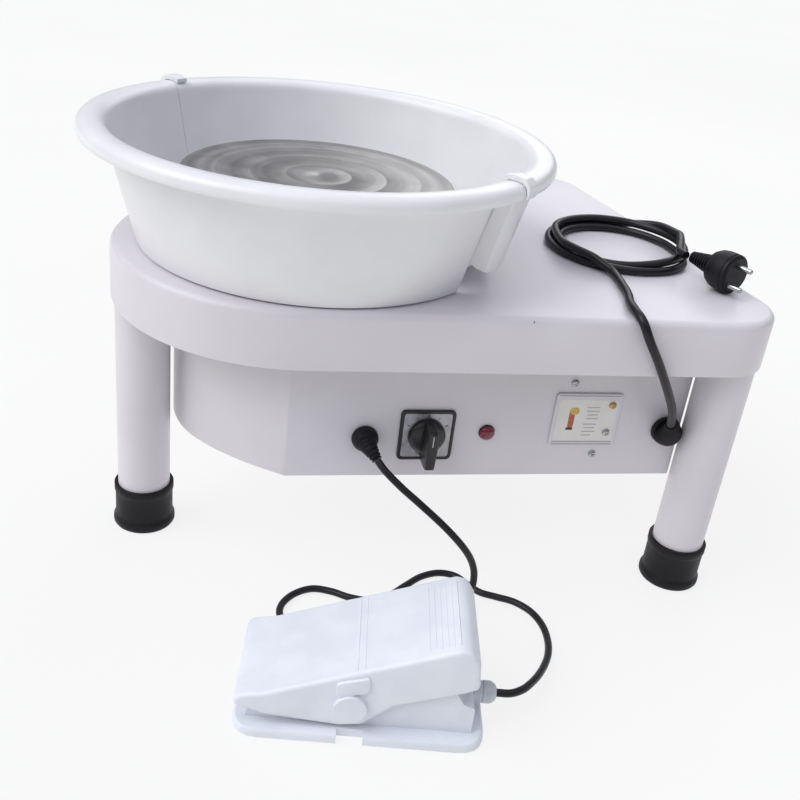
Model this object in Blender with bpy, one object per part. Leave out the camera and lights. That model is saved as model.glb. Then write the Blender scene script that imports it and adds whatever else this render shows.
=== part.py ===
"""Electric pottery wheel on three legs, with a two-piece splash basin and a foot pedal.

Units are metres, +Z is up and the floor is z = 0. Shapes are described around the
spindle, which stands at SPINDLE; one empty there carries every fixed piece.
"""

from math import atan2, cos, hypot, pi, radians, sin, sqrt

import bmesh
import bpy
from mathutils import Matrix, Vector

# Where the spindle stands in the row frame, whose origin is under the middle of the object.
SPINDLE = Vector((-0.09991, 0.03417, 0.0))
GAP = 0.0003  # running and resting clearance between neighbouring pieces

# Table casing: a round nose about the spindle that widens to a straight end.
TABLE_TOP = 0.3040
APRON = 0.0525
SHEET = 0.0022
NOSE = Vector((-0.0201, -0.0034, 0.0))
NOSE_R = 0.1651
TABLE_AXIS = radians(9.87)  # direction of the table's line of symmetry
TABLE_REACH = 0.4061  # from the nose centre to the straight end
CORNER_R = 0.0511
EDGE_R = 0.0065

# Lower case that holds the motor and the controls.
CASE_BOTTOM = 0.1154
CASE_FRONT = -0.1141  # plane of the control panel
CASE_RIGHT = 0.3586
CASE_CREASE = -0.027
CASE_NOSE = [(-0.061, -0.091), (-0.091, -0.064), (-0.113, -0.036), (-0.125, -0.006), (-0.128, 0.026),
             (-0.118, 0.060), (-0.096, 0.086)]

# Legs: tubes in rubber ferrules.
LEG_R = 0.0254
LEG_WALL = 0.0018
LEG_SEAT = 0.0060  # thickness of rubber under a tube
LEGS = {"nose": (-0.1564, -0.012), "front": (0.380, -0.1284), "rear": (0.3142, 0.2488)}
FOOT_TOP = 0.047

# Splash basin, heights above the table.
BASIN_R = 0.1630
BASIN_TOP = 0.1080
RIM_R = 0.2112
RECESS = 0.024  # the back half's wall steps in by this much near the front seam
RECESS_TOP = 0.0265
RECESS_ARC = (radians(23.0), radians(33.0))
SEAM = radians(-47.0)
COLLAR_R = 0.032

# Wheel head, hub and spindle.
HEAD_R = 0.125
HEAD_TOP = TABLE_TOP + 0.0634
HEAD_THICK = 0.012
HUB_R = 0.021
SHAFT_R = 0.0085
PULLEY_R = 0.072
PULLEY_Z = 0.1400
PULLEY_H = 0.020
MOTOR_AT = Vector((0.187, 0.032, 0.0))
MOTOR_R = 0.046
MOTOR_PULLEY_R = 0.018
MOTOR_SHAFT_R = 0.0045
BELT = 0.0035

# Control panel fittings: x and height on the panel.
SWITCH_AT = (0.1022, 0.1608)
SWITCH_SIDE = 0.052
SWITCH_SHAFT_R = 0.0045
LAMP_AT = (0.1606, 0.1634)
PLATE_AT = (0.2565, 0.1778)
PLATE_SIZE = (0.067, 0.057)
SCREWS = [(0.2389, 0.2167), (0.2803, 0.1945), (0.2794, 0.1650), (0.2712, 0.1397)]

# Pedal: its own axes run along it (s), towards the machine (t) and up.
PEDAL_AT = Vector((-0.0639, -0.3193, 0.0))
PEDAL_TURN = radians(-10.5)
PEDAL_PIVOT = Vector((0.0760, 0.0, 0.0350))
PEDAL_BACK = 0.112
PEDAL_PIN_R = 0.0040

# Cords.
MAINS_R = 0.0040
PEDAL_CORD_R = 0.0034
COIL_AT = Vector((0.310, 0.012, TABLE_TOP + GAP))
COIL_R = (0.042, 0.075)
COIL_H = 0.0155
PLUG_AT = Vector((0.3705, -0.0870, TABLE_TOP + 0.0195))
PLUG_TURN = radians(-65.0)
MAINS_BOOT = [(0.3412, -0.104, 0.1680), (0.3412, -0.1240, 0.1690), (0.3370, -0.1350, 0.1770),
              (0.3305, -0.1425, 0.1880)]
PEDAL_BOOT = [(0.0445, -0.104, 0.1576), (0.0447, -0.1240, 0.1576), (0.0475, -0.1345, 0.1556),
              (0.0525, -0.1420, 0.1500)]
MAINS_ROUTE = [(0.3300, -0.1429, 0.1886), (0.3252, -0.1498, 0.1990), (0.3160, -0.1600, 0.2170),
               (0.3001, -0.1705, 0.2420), (0.2836, -0.1770, 0.2680), (0.2695, -0.1787, 0.2895),
               (0.2612, -0.1730, 0.3060), (0.2596, -0.1560, 0.3099), (0.2630, -0.1380, 0.3087),
               (0.2690, -0.1180, 0.3085), (0.2728, -0.0950, 0.3085), (0.2740, -0.0740, 0.3085),
               (0.2742, -0.0572, 0.3085)]
PEDAL_ROUTE = [(0.0530, -0.1427, 0.1494), (0.0600, -0.1505, 0.1425), (0.0750, -0.1600, 0.1305),
               (0.0900, -0.1660, 0.1190), (0.1165, -0.1725, 0.0960), (0.1380, -0.1745, 0.0720),
               (0.1490, -0.1735, 0.0520), (0.1515, -0.1750, 0.0340), (0.1470, -0.1785, 0.0170),
               (0.1350, -0.1840, 0.0068), (0.1150, -0.1920, 0.0040), (0.0800, -0.1985, 0.0038),
               (0.0400, -0.2005, 0.0038), (0.0080, -0.1995, 0.0038), (-0.0150, -0.1935, 0.0038),
               (-0.0290, -0.1790, 0.0038), (-0.0270, -0.1620, 0.0038), (-0.0140, -0.1470, 0.0038),
               (0.0040, -0.1400, 0.0038), (0.0220, -0.1450, 0.0038), (0.0390, -0.1550, 0.0038),
               (0.0580, -0.1600, 0.0038), (0.0780, -0.1530, 0.0038), (0.0960, -0.1395, 0.0038),
               (0.1140, -0.1265, 0.0038), (0.1330, -0.1212, 0.0038), (0.1490, -0.1265, 0.0038),
               (0.1585, -0.1400, 0.0038), (0.1680, -0.1530, 0.0038), (0.1820, -0.1605, 0.0038),
               (0.1990, -0.1695, 0.0038), (0.2115, -0.1850, 0.0038), (0.2165, -0.2050, 0.0040),
               (0.2145, -0.2270, 0.0052), (0.2075, -0.2480, 0.0085), (0.1970, -0.2670, 0.0128),
               (0.1850, -0.2840, 0.0176), (0.1735, -0.2970, 0.0216), (0.1625, -0.3068, 0.0246),
               (0.1500, -0.3122, 0.0265), (0.1380, -0.3110, 0.0270)]


# ---------------------------------------------------------------- materials and objects
def material(name, colour, roughness, metallic=0.0):
    found = bpy.data.materials.get(name)
    if found:
        return found
    made = bpy.data.materials.new(name)
    made.use_nodes = True
    shader = made.node_tree.nodes["Principled BSDF"]
    shader.inputs["Base Color"].default_value = (*colour, 1.0)
    shader.inputs["Roughness"].default_value = roughness
    shader.inputs["Metallic"].default_value = metallic
    return made


FINISH = {
    "painted_steel": ((0.66, 0.65, 0.71), 0.35, 0.0),
    "basin_plastic": ((0.80, 0.82, 0.86), 0.4, 0.0),
    "pedal_plastic": ((0.74, 0.77, 0.85), 0.45, 0.0),
    "wheel_aluminium": ((0.52, 0.50, 0.49), 0.32, 1.0),
    "bright_steel": ((0.62, 0.62, 0.63), 0.25, 1.0),
    "black_rubber": ((0.016, 0.014, 0.018), 0.6, 0.0),
    "black_plastic": ((0.02, 0.018, 0.022), 0.4, 0.0),
    "grey_nylon": ((0.55, 0.58, 0.63), 0.5, 0.0),
    "switch_face": ((0.55, 0.55, 0.57), 0.3, 0.6),
    "red_lens": ((0.35, 0.01, 0.04), 0.2, 0.0),
    "motor_enamel": ((0.09, 0.10, 0.12), 0.5, 0.2),
    "circuit_board": ((0.03, 0.20, 0.09), 0.5, 0.0),
    "label_plate": ((0.78, 0.76, 0.74), 0.4, 0.0),
}


def add(name, bm, finish, parent, at=(0, 0, 0), turn=0.0, smooth=35.0):
    """Makes the named piece from a bmesh whose coordinates are about its own origin."""
    bmesh.ops.recalc_face_normals(bm, faces=bm.faces)
    mesh = bpy.data.meshes.new(name)
    bm.to_mesh(mesh)
    bm.free()
    mesh.shade_smooth()
    mesh.set_sharp_from_angle(angle=radians(smooth))
    mesh.materials.append(material(finish, *FINISH[finish]))
    piece = bpy.data.objects.new(name, mesh)
    bpy.context.scene.collection.objects.link(piece)
    piece.parent = parent
    piece.location = at
    piece.rotation_euler = (0, 0, turn)
    return piece


def pivot(name, parent, at, turn=0.0):
    """An empty on a joint's axis, or at a group's origin, that carries the pieces there."""
    empty = bpy.data.objects.new(name, None)
    bpy.context.scene.collection.objects.link(empty)
    empty.empty_display_size = 0.02
    empty.parent = parent
    empty.location = at
    empty.rotation_euler = (0, 0, turn)
    return empty


def boolean(piece, operation, bm, name):
    """Cuts bm from the piece, or joins it on, with bm in the piece's own coordinates."""
    bmesh.ops.recalc_face_normals(bm, faces=bm.faces)
    mesh = bpy.data.meshes.new(name)
    bm.to_mesh(mesh)
    bm.free()
    helper = bpy.data.objects.new(name, mesh)
    bpy.context.scene.collection.objects.link(helper)
    helper.parent = piece.parent
    helper.location = piece.location
    helper.rotation_euler = piece.rotation_euler
    helper.hide_render = True
    helper.display_type = "WIRE"
    step = piece.modifiers.new(name, "BOOLEAN")
    step.operation = operation
    step.object = helper
    step.solver = "EXACT"


# ---------------------------------------------------------------- shapes
def ring_strip(bm, first, second):
    """Quads between two closed rings of vertices."""
    for i in range(len(first)):
        j = (i + 1) % len(first)
        bm.faces.new((first[i], first[j], second[j], second[i]))


def loft(rings, closed_section=False):
    """A solid through rings of points. With closed_section the last ring joins the first."""
    bm = bmesh.new()
    made = [[bm.verts.new(point) for point in ring] for ring in rings]
    for first, second in zip(made, made[1:]):
        ring_strip(bm, first, second)
    if closed_section:
        ring_strip(bm, made[-1], made[0])
    else:
        bm.faces.new(made[0])
        bm.faces.new(made[-1])
    return bm


def level(outline, z):
    return [(x, y, z) for x, y in outline]


def prism(outline, low, high):
    return loft([level(outline, low), level(outline, high)])


def box(size, at=(0, 0, 0)):
    x, y, z = (side / 2 for side in size)
    corners = [(-x, -y), (x, -y), (x, y), (-x, y)]
    bm = prism(corners, -z, z)
    bmesh.ops.translate(bm, verts=bm.verts, vec=at)
    return bm


def circle(radius, count, centre=(0, 0)):
    turns = [2 * pi * i / count for i in range(count)]
    return [(centre[0] + radius * cos(a), centre[1] + radius * sin(a)) for a in turns]


def arc(centre, radius, start, end, count):
    """Points of an arc from start to end, both included."""
    turns = [start + (end - start) * i / count for i in range(count + 1)]
    return [(centre[0] + radius * cos(a), centre[1] + radius * sin(a)) for a in turns]


def lathe(profile, count):
    """A turned solid about Z. A profile that starts and ends at radius 0 is solid in the
    middle; any other is a closed section with a hole through it."""
    solid = profile[0][0] == 0 and profile[-1][0] == 0
    section = profile[1:-1] if solid else profile
    rings = [level(circle(radius, count), z) for radius, z in section]
    if not solid:
        return loft(rings, closed_section=True)
    bm = bmesh.new()
    made = [[bm.verts.new(point) for point in ring] for ring in rings]
    for first, second in zip(made, made[1:]):
        ring_strip(bm, first, second)
    for ring, height in ((made[0], profile[0][1]), (made[-1], profile[-1][1])):
        tip = bm.verts.new((0, 0, height))
        for i in range(count):
            bm.faces.new((ring[i], ring[(i + 1) % count], tip))
    return bm


def tube(radius, wall, low, high, count):
    return lathe([(radius, low), (radius, high), (radius - wall, high), (radius - wall, low)], count)


def half_turned(section, start, count):
    """Half a turn from angle start, with flat ends. section gives the closed outline at each angle."""
    bm = bmesh.new()
    made = []
    for i in range(count + 1):
        away = pi * i / count
        a = start + away
        made.append([bm.verts.new((r * cos(a), r * sin(a), z)) for r, z in section(away)])
    for first, second in zip(made, made[1:]):
        ring_strip(bm, first, second)
    bm.faces.new(made[0])
    bm.faces.new(made[-1])
    return bm


def smooth_path(points, spacing):
    """Evenly spaced points on a Catmull-Rom curve through the route's points."""
    route = [Vector(point) for point in points]
    ends = [2 * route[0] - route[1]] + route + [2 * route[-1] - route[-2]]
    fine = []
    for a, b, c, d in zip(ends, ends[1:], ends[2:], ends[3:]):
        for i in range(16):
            t = i / 16
            fine.append(0.5 * (2 * b + (c - a) * t + (2 * a - 5 * b + 4 * c - d) * t * t
                               + (3 * b - a - 3 * c + d) * t ** 3))
    fine.append(route[-1])
    lengths = [(q - p).length for p, q in zip(fine, fine[1:])]
    count = max(2, round(sum(lengths) / spacing))
    step = sum(lengths) / count
    path, travelled, wanted = [fine[0]], 0.0, step
    for p, q, length in zip(fine, fine[1:], lengths):
        while travelled + length >= wanted - 1e-9 and len(path) < count:
            path.append(p.lerp(q, (wanted - travelled) / length))
            wanted += step
        travelled += length
    path.append(fine[-1])
    return path


def swept(path, radii, count):
    """A round bar along a path, with a radius at each point."""
    points = [Vector(point) for point in path]
    side = Vector((0, 0, 1))
    rings = []
    for i, point in enumerate(points):
        along = (points[min(i + 1, len(points) - 1)] - points[max(i - 1, 0)]).normalized()
        across = along.cross(side).normalized()
        over = across.cross(along)
        turns = [2 * pi * k / count for k in range(count)]
        rings.append([point + radii[i] * (cos(a) * across + sin(a) * over) for a in turns])
    return loft(rings)


def cord(name, points, radius, parent, spacing):
    """A free cord: a bevelled curve through its route."""
    data = bpy.data.curves.new(name, "CURVE")
    data.dimensions = "3D"
    data.bevel_depth = radius
    data.bevel_resolution = 2
    data.use_fill_caps = True
    path = smooth_path(points, spacing)
    spline = data.splines.new("POLY")
    spline.points.add(len(path) - 1)
    for vertex, point in zip(spline.points, path):
        vertex.co = (*point, 1.0)
    data.materials.append(material("black_rubber", *FINISH["black_rubber"]))
    piece = bpy.data.objects.new(name, data)
    bpy.context.scene.collection.objects.link(piece)
    piece.parent = parent
    return piece


def offset(outline, distance):
    """A closed outline moved inwards by distance. The outline runs anticlockwise."""
    moved = []
    for i, (x, y) in enumerate(outline):
        before = Vector(outline[i - 1])
        after = Vector(outline[(i + 1) % len(outline)])
        here = Vector((x, y))
        first = (here - before).normalized()
        second = (after - here).normalized()
        inward = (Vector((-first.y, first.x)) + Vector((-second.y, second.x))).normalized()
        stretch = inward.dot(Vector((-second.y, second.x)))
        moved.append(tuple(here + inward * (distance / stretch)))
    return moved


# ---------------------------------------------------------------- table and lower case
def table_outline(inset):
    """The table's plan, moved inwards: two corner arcs and the round nose."""
    along = Vector((cos(TABLE_AXIS), sin(TABLE_AXIS)))
    across = Vector((-along.y, along.x))
    reach = TABLE_REACH - CORNER_R
    spread = (NOSE_R - CORNER_R + reach * sin(TABLE_AXIS)) / cos(TABLE_AXIS)
    nose = NOSE.to_2d()
    front = nose + reach * along - spread * across
    back = nose + reach * along + spread * across
    quarter = pi / 2
    return (arc(front, CORNER_R - inset, -quarter, TABLE_AXIS, 7)
            + arc(back, CORNER_R - inset, TABLE_AXIS, quarter + 2 * TABLE_AXIS, 7)
            + arc(nose, NOSE_R - inset, quarter + 2 * TABLE_AXIS, 3 * quarter, 22))


def make_table(machine):
    turns = [radians(a) for a in (0, 30, 60, 90)]
    rounding = [(EDGE_R * (1 - cos(a)), EDGE_R * (sin(a) - 1)) for a in turns]
    rings = [level(table_outline(0), TABLE_TOP - APRON)]
    rings += [level(table_outline(inset), TABLE_TOP + drop) for inset, drop in rounding]
    table = add("table_casing", loft(rings), "painted_steel", machine)
    hollow = prism(table_outline(SHEET), TABLE_TOP - APRON - 0.02, TABLE_TOP - SHEET)
    boolean(table, "DIFFERENCE", hollow, "table_hollow_cutter")
    hole = prism(circle(SHAFT_R + 0.004, 24), TABLE_TOP - 0.02, TABLE_TOP + 0.02)
    boolean(table, "DIFFERENCE", hole, "table_spindle_cutter")


def case_outline():
    """Plan of the lower case: the panel, the bent nose and the back, mirrored on the table's axis."""
    along = Vector((cos(TABLE_AXIS), sin(TABLE_AXIS)))
    nose = NOSE.to_2d()

    def mirrored(point):
        away = Vector(point) - nose
        return tuple(nose + 2 * away.dot(along) * along - away)

    front = (CASE_RIGHT, CASE_FRONT)
    crease = (CASE_CREASE, CASE_FRONT)
    return [front, mirrored(front), mirrored(crease)] + CASE_NOSE[::-1] + [crease]


def panel_hole(case, name, at, radius):
    """A round hole through the control panel."""
    bm = prism(circle(radius, 20), -0.02, 0.02)
    bmesh.ops.rotate(bm, verts=bm.verts, cent=(0, 0, 0), matrix=Matrix.Rotation(pi / 2, 3, "X"))
    bmesh.ops.translate(bm, verts=bm.verts, vec=(at[0], CASE_FRONT, at[1]))
    boolean(case, "DIFFERENCE", bm, name)


def make_case(machine):
    outline = case_outline()
    inner = offset(outline, SHEET)
    top = TABLE_TOP - SHEET - GAP
    rings = [level(outline, CASE_BOTTOM), level(outline, top), level(inner, top),
             level(inner, CASE_BOTTOM)]
    case = add("lower_case", loft(rings, closed_section=True), "painted_steel", machine, smooth=25)
    panel_hole(case, "switch_hole_cutter", SWITCH_AT, 0.0070)
    panel_hole(case, "lamp_hole_cutter", LAMP_AT, 0.0050)
    for name, boot in (("mains_hole_cutter", MAINS_BOOT), ("pedal_hole_cutter", PEDAL_BOOT)):
        panel_hole(case, name, (boot[0][0], boot[0][2]), 0.0090)
    plate = prism(offset(outline, SHEET + GAP), CASE_BOTTOM + 0.001, CASE_BOTTOM + 0.003)
    add("bottom_plate", plate, "painted_steel", machine)


def make_legs(machine):
    for which, (x, y) in LEGS.items():
        leg = tube(LEG_R, LEG_WALL, LEG_SEAT + GAP, TABLE_TOP - SHEET - GAP, 24)
        add(f"leg_{which}", leg, "painted_steel", machine, (x, y, 0))
        inside = LEG_R + GAP
        ferrule = lathe([(0, 0), (0.0285, 0), (0.0305, 0.002), (0.0305, 0.008), (0.0283, 0.013),
                         (0.0283, 0.038), (0.0292, 0.040), (0.0292, FOOT_TOP - 0.001),
                         (0.0280, FOOT_TOP), (inside, FOOT_TOP), (inside, LEG_SEAT), (0, LEG_SEAT)], 24)
        add(f"foot_{which}", ferrule, "black_rubber", machine, (x, y, 0))


# ---------------------------------------------------------------- drive
def make_bearings(machine):
    reach = 0.0220
    top = TABLE_TOP - SHEET - GAP
    low = top - 0.098
    seat = 0.0175
    housing = lathe([(reach, low), (reach, top - 0.006), (0.046, top - 0.006), (0.046, top), (seat, top),
                     (seat, top - 0.014), (0.0130, top - 0.0145), (0.0130, low + 0.0145),
                     (seat, low + 0.014), (seat, low)], 28)
    add("bearing_housing", housing, "motor_enamel", machine)
    for name, z in (("upper_bearing", top - 0.013), ("lower_bearing", low + 0.001)):
        race = tube(seat - GAP, seat - GAP - SHAFT_R - GAP, z, z + 0.012, 24)
        add(name, race, "bright_steel", machine)


def make_motor(machine):
    x, y, _ = MOTOR_AT
    top = TABLE_TOP - SHEET - GAP
    bracket = box((0.120, 0.110, 0.005), (0, 0, top - 0.0025))
    add("motor_bracket", bracket, "bright_steel", machine, (x, y, 0))
    low = PULLEY_Z + PULLEY_H + 0.022
    high = top - 0.005 - GAP
    body = lathe([(0, low), (0.030, low), (0.030, low + 0.004), (MOTOR_R, low + 0.006),
                  (MOTOR_R, high - 0.002), (MOTOR_R - 0.002, high), (0, high)], 32)
    motor = add("motor", body, "motor_enamel", machine, (x, y, 0))
    bore = prism(circle(MOTOR_SHAFT_R + GAP, 16), low - 0.02, low + 0.040)
    boolean(motor, "DIFFERENCE", bore, "motor_bore_cutter")
    return low


def belt_outline(grow, count=20):
    """A belt line around both pulleys: two arcs joined by the outer tangents."""
    away = MOTOR_AT.to_2d()
    big, small = PULLEY_R + grow, MOTOR_PULLEY_R + grow
    heading = atan2(away.y, away.x)
    lean = (big - small) / hypot(away.x, away.y)
    open_angle = pi / 2 - atan2(lean, sqrt(1 - lean * lean))
    return (arc(away, small, heading - open_angle, heading + open_angle, count // 2)
            + arc((0, 0), big, heading + open_angle, heading + 2 * pi - open_angle, count))


def make_belt(machine):
    low, high = PULLEY_Z + 0.004, PULLEY_Z + PULLEY_H - 0.004
    inner, outer = belt_outline(GAP), belt_outline(GAP + BELT)
    rings = [level(outer, low), level(outer, high), level(inner, high), level(inner, low)]
    add("drive_belt", loft(rings, closed_section=True), "black_rubber", machine)


def pulley(radius, bore, count):
    """A flat-belt pulley with two low flanges."""
    lip = radius + 0.0028
    high = PULLEY_H
    return lathe([(lip, 0), (lip, 0.0025), (radius - GAP, 0.0028), (radius - GAP, high - 0.0028),
                  (lip, high - 0.0025), (lip, high), (bore, high), (bore, 0)], count)


def make_rotor(machine, motor_low):
    axis = pivot("motor_axis", machine, MOTOR_AT)
    wheel = pulley(MOTOR_PULLEY_R, MOTOR_SHAFT_R + GAP, 28)
    add("motor_pulley", wheel, "wheel_aluminium", axis, (0, 0, PULLEY_Z))
    low, high = PULLEY_Z - 0.003, motor_low + 0.030
    rod = lathe([(0, low), (MOTOR_SHAFT_R, low), (MOTOR_SHAFT_R, high), (0, high)], 16)
    add("motor_shaft", rod, "bright_steel", axis)


def make_wheel(machine):
    axis = pivot("wheel_axis", machine, (0, 0, 0))
    under = HEAD_TOP - HEAD_THICK
    low, high = PULLEY_Z - 0.008, under - 0.003
    rod = lathe([(0, low), (SHAFT_R, low), (SHAFT_R, high), (0, high)], 20)
    add("spindle", rod, "bright_steel", axis)
    add("driven_pulley", pulley(PULLEY_R, SHAFT_R + GAP, 40), "wheel_aluminium", axis, (0, 0, PULLEY_Z))
    low = TABLE_TOP + 0.012
    hub = lathe([(HUB_R, low), (HUB_R, under - 0.010), (0.045, under - 0.006), (0.045, under - GAP),
                 (SHAFT_R + GAP, under - GAP), (SHAFT_R + GAP, low)], 28)
    add("wheel_hub", hub, "motor_enamel", axis)
    head = lathe([(0, under), (HEAD_R - 0.003, under), (HEAD_R, under + 0.002), (HEAD_R, HEAD_TOP - 0.0015),
                  (HEAD_R - 0.0015, HEAD_TOP), (0, HEAD_TOP)], 64)
    add("wheel_head", head, "wheel_aluminium", axis)


def make_controller(machine):
    board = box((0.090, 0.004, 0.070))
    add("control_board", board, "circuit_board", machine, (0.262, 0.105, 0.175), TABLE_AXIS)
    sink = box((0.080, 0.022, 0.060))
    add("heat_sink", sink, "wheel_aluminium", machine, (0.2595, 0.1205, 0.175), TABLE_AXIS)


# ---------------------------------------------------------------- control panel
def facing(bm, at, out=0.0):
    """Turns a shape made along +Z to stand out of the panel at (x, height)."""
    bmesh.ops.rotate(bm, verts=bm.verts, cent=(0, 0, 0), matrix=Matrix.Rotation(pi / 2, 3, "X"))
    bmesh.ops.translate(bm, verts=bm.verts, vec=(at[0], CASE_FRONT - out, at[1]))
    return bm


def square(side):
    half = side / 2
    return [(-half, -half), (half, -half), (half, half), (-half, half)]


def rounded(width, height, radius, count=4):
    """A rounded rectangle about the origin, anticlockwise."""
    points = []
    for k, (sx, sy) in enumerate(((1, -1), (1, 1), (-1, 1), (-1, -1))):
        centre = (sx * (width / 2 - radius), sy * (height / 2 - radius))
        points += arc(centre, radius, (k - 1) * pi / 2, k * pi / 2, count)
    return points


def make_switch(machine):
    plate = prism(rounded(SWITCH_SIDE, SWITCH_SIDE, 0.004), GAP, 0.0032)
    plate = add("switch_plate", facing(plate, SWITCH_AT), "switch_face", machine)
    bore = facing(prism(circle(0.0070, 20), -0.02, 0.02), SWITCH_AT)
    boolean(plate, "DIFFERENCE", bore, "switch_plate_cutter")
    body = facing(prism(rounded(0.044, 0.044, 0.003, 2), -0.050, -SHEET - GAP), SWITCH_AT)
    body = add("switch_body", body, "black_plastic", machine)
    bore = facing(prism(circle(SWITCH_SHAFT_R + GAP, 16), -0.030, 0.02), SWITCH_AT)
    boolean(body, "DIFFERENCE", bore, "switch_body_cutter")
    axis = pivot("switch_axis", machine, (SWITCH_AT[0], CASE_FRONT, SWITCH_AT[1]))
    shaft = prism(circle(SWITCH_SHAFT_R, 16), -0.024, 0.0035)
    bmesh.ops.rotate(shaft, verts=shaft.verts, cent=(0, 0, 0), matrix=Matrix.Rotation(pi / 2, 3, "X"))
    add("switch_shaft", shaft, "bright_steel", axis)
    skirt = lathe([(0, 0.0038), (0.0175, 0.0038), (0.0175, 0.0062), (0.0160, 0.0082), (0.0130, 0.0095),
                   (0, 0.0095)], 28)
    bmesh.ops.rotate(skirt, verts=skirt.verts, cent=(0, 0, 0), matrix=Matrix.Rotation(pi / 2, 3, "X"))
    knob = add("switch_knob", skirt, "black_plastic", axis)
    half = [(-0.0050, -0.0235), (0.0050, -0.0235), (0.0064, 0.0), (0.0048, 0.0170), (-0.0048, 0.0170),
            (-0.0064, 0.0)]
    top = [(x * 0.72, y * 0.94) for x, y in half]
    grip = loft([level(half, 0.0060), level(half, 0.0240), level(top, 0.0290)])
    bmesh.ops.rotate(grip, verts=grip.verts, cent=(0, 0, 0), matrix=Matrix.Rotation(pi / 2, 3, "X"))
    boolean(knob, "UNION", grip, "switch_grip_union")


def make_lamp(machine):
    bezel = lathe([(0.0080, GAP), (0.0080, 0.0010), (0.0076, 0.0014), (0.0050, 0.0014), (0.0050, GAP)], 24)
    add("lamp_bezel", facing(bezel, LAMP_AT), "black_plastic", machine)
    reach = 0.0050 - GAP
    cap = 0.0014 + GAP
    lens = lathe([(0, -0.018), (reach, -0.018), (reach, cap), (0.0072, cap), (0.0072, 0.0030),
                  (0.0060, 0.0046), (0.0035, 0.0060), (0, 0.0064)], 20)
    add("lamp_lens", facing(lens, LAMP_AT), "red_lens", machine)


def make_plate_and_screws(machine):
    plate = prism(rounded(*PLATE_SIZE, 0.003, 3), GAP, 0.0022)
    add("rating_plate", facing(plate, PLATE_AT), "label_plate", machine)
    for number, at in enumerate(SCREWS, 1):
        head = lathe([(0, GAP), (0.0036, GAP), (0.0034, 0.0012), (0.0022, 0.0021), (0, 0.0024)], 16)
        away = (abs(at[0] - PLATE_AT[0]), abs(at[1] - PLATE_AT[1]))
        on_plate = away[0] < PLATE_SIZE[0] / 2 and away[1] < PLATE_SIZE[1] / 2
        add(f"panel_screw_{number}", facing(head, at, 0.0022 if on_plate else 0.0), "bright_steel", machine)


# ---------------------------------------------------------------- cords, boots and plug
def make_boot(machine, name, points, flange, tip):
    """A rubber strain relief: a shank through the panel, a round flange and a bent taper."""
    start = Vector(points[0])
    x, z = start.x, start.z
    face = CASE_FRONT - GAP
    path = [(x, CASE_FRONT + 0.010, z), (x, face, z), (x, face - 0.0005, z), (x, face - 0.004, z)]
    path += [Vector(point) for point in points[1:]]
    radii = [0.0085, 0.0085, flange, flange, flange * 0.80, flange * 0.62, tip]
    add(name, swept(path, radii, 20), "black_rubber", machine)


def make_mains(machine):
    make_boot(machine, "mains_boot", MAINS_BOOT, 0.0146, MAINS_R + 0.0016)
    cord("mains_cord", MAINS_ROUTE, MAINS_R, machine, 0.014)
    inner, outer = COIL_R
    profile = [(outer - 0.004, 0), (outer, 0.004), (outer, COIL_H - 0.004), (outer - 0.004, COIL_H),
               (inner + 0.004, COIL_H), (inner, COIL_H - 0.004), (inner, 0.004), (inner + 0.004, 0)]
    add("mains_cord_coil", lathe(profile, 40), "black_rubber", machine, COIL_AT)
    make_plug(machine)


def make_plug(machine):
    """A round moulded plug lying on its side, with two round pins."""
    side = Matrix.Rotation(pi / 2, 3, "Y")
    body = lathe([(0, -0.0400), (0.0056, -0.0400), (0.0070, -0.0200), (0.0110, -0.0165), (0.0165, -0.0120),
                  (0.0190, -0.0040), (0.0190, 0.0080), (0.0180, 0.0100), (0.0165, 0.0100), (0.0155, 0.0125),
                  (0, 0.0125)], 24)
    bmesh.ops.rotate(body, verts=body.verts, cent=(0, 0, 0), matrix=side)
    add("mains_plug", body, "black_rubber", machine, PLUG_AT, PLUG_TURN)
    for number, way in ((1, 1), (2, -1)):
        pin = lathe([(0, 0.0128), (0.0024, 0.0128), (0.0024, 0.0300), (0.0014, 0.0318), (0, 0.0318)], 12)
        bmesh.ops.rotate(pin, verts=pin.verts, cent=(0, 0, 0), matrix=side)
        lean = radians(62)
        shift = Vector((0, way * 0.0095 * cos(lean), way * 0.0095 * sin(lean)))
        bmesh.ops.translate(pin, verts=pin.verts, vec=shift)
        add(f"mains_plug_pin_{number}", pin, "bright_steel", machine, PLUG_AT, PLUG_TURN)


# ---------------------------------------------------------------- basin
def basin_profile(share=0.0):
    """Section of the basin: floor, wall, rolled rim and hub collar. A share of 1 is fully recessed."""
    t = TABLE_TOP
    inset = RECESS * share
    foot, collar = BASIN_R - inset, COLLAR_R - 0.003
    return [(collar, t + 0.0003), (foot - 0.0035, t + 0.0003), (foot, t + 0.0040),
            (0.1692 - inset, t + RECESS_TOP - 0.0003), (0.16935, t + RECESS_TOP), (0.1878, t + 0.0945),
            (0.1898, t + 0.0978), (0.2030, t + 0.1012), (0.2075, t + 0.0998), (0.2086, t + 0.0953),
            (0.2104, t + 0.0953), (RIM_R, t + 0.0970), (RIM_R, t + 0.1007), (0.2096, t + 0.1045),
            (0.2060, t + 0.1072), (0.2005, t + BASIN_TOP), (0.1940, t + 0.1076), (0.1895, t + 0.1060),
            (0.1866, t + 0.1030), (0.1852, t + 0.0980), (0.1671, t + RECESS_TOP + 0.0033),
            (0.1669 - inset, t + RECESS_TOP + 0.0030), (foot - 0.0025, t + 0.0070),
            (foot - 0.0070, t + 0.0033), (COLLAR_R, t + 0.0033), (COLLAR_R, t + 0.0300),
            (collar, t + 0.0300)]


def recessed_profile(away):
    """The back half's section: recessed from the front seam, fading out over the recess's arc."""
    near, far = RECESS_ARC
    share = min(1.0, max(0.0, (far - away) / (far - near)))
    return basin_profile(share * share * (3 - 2 * share))


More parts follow.
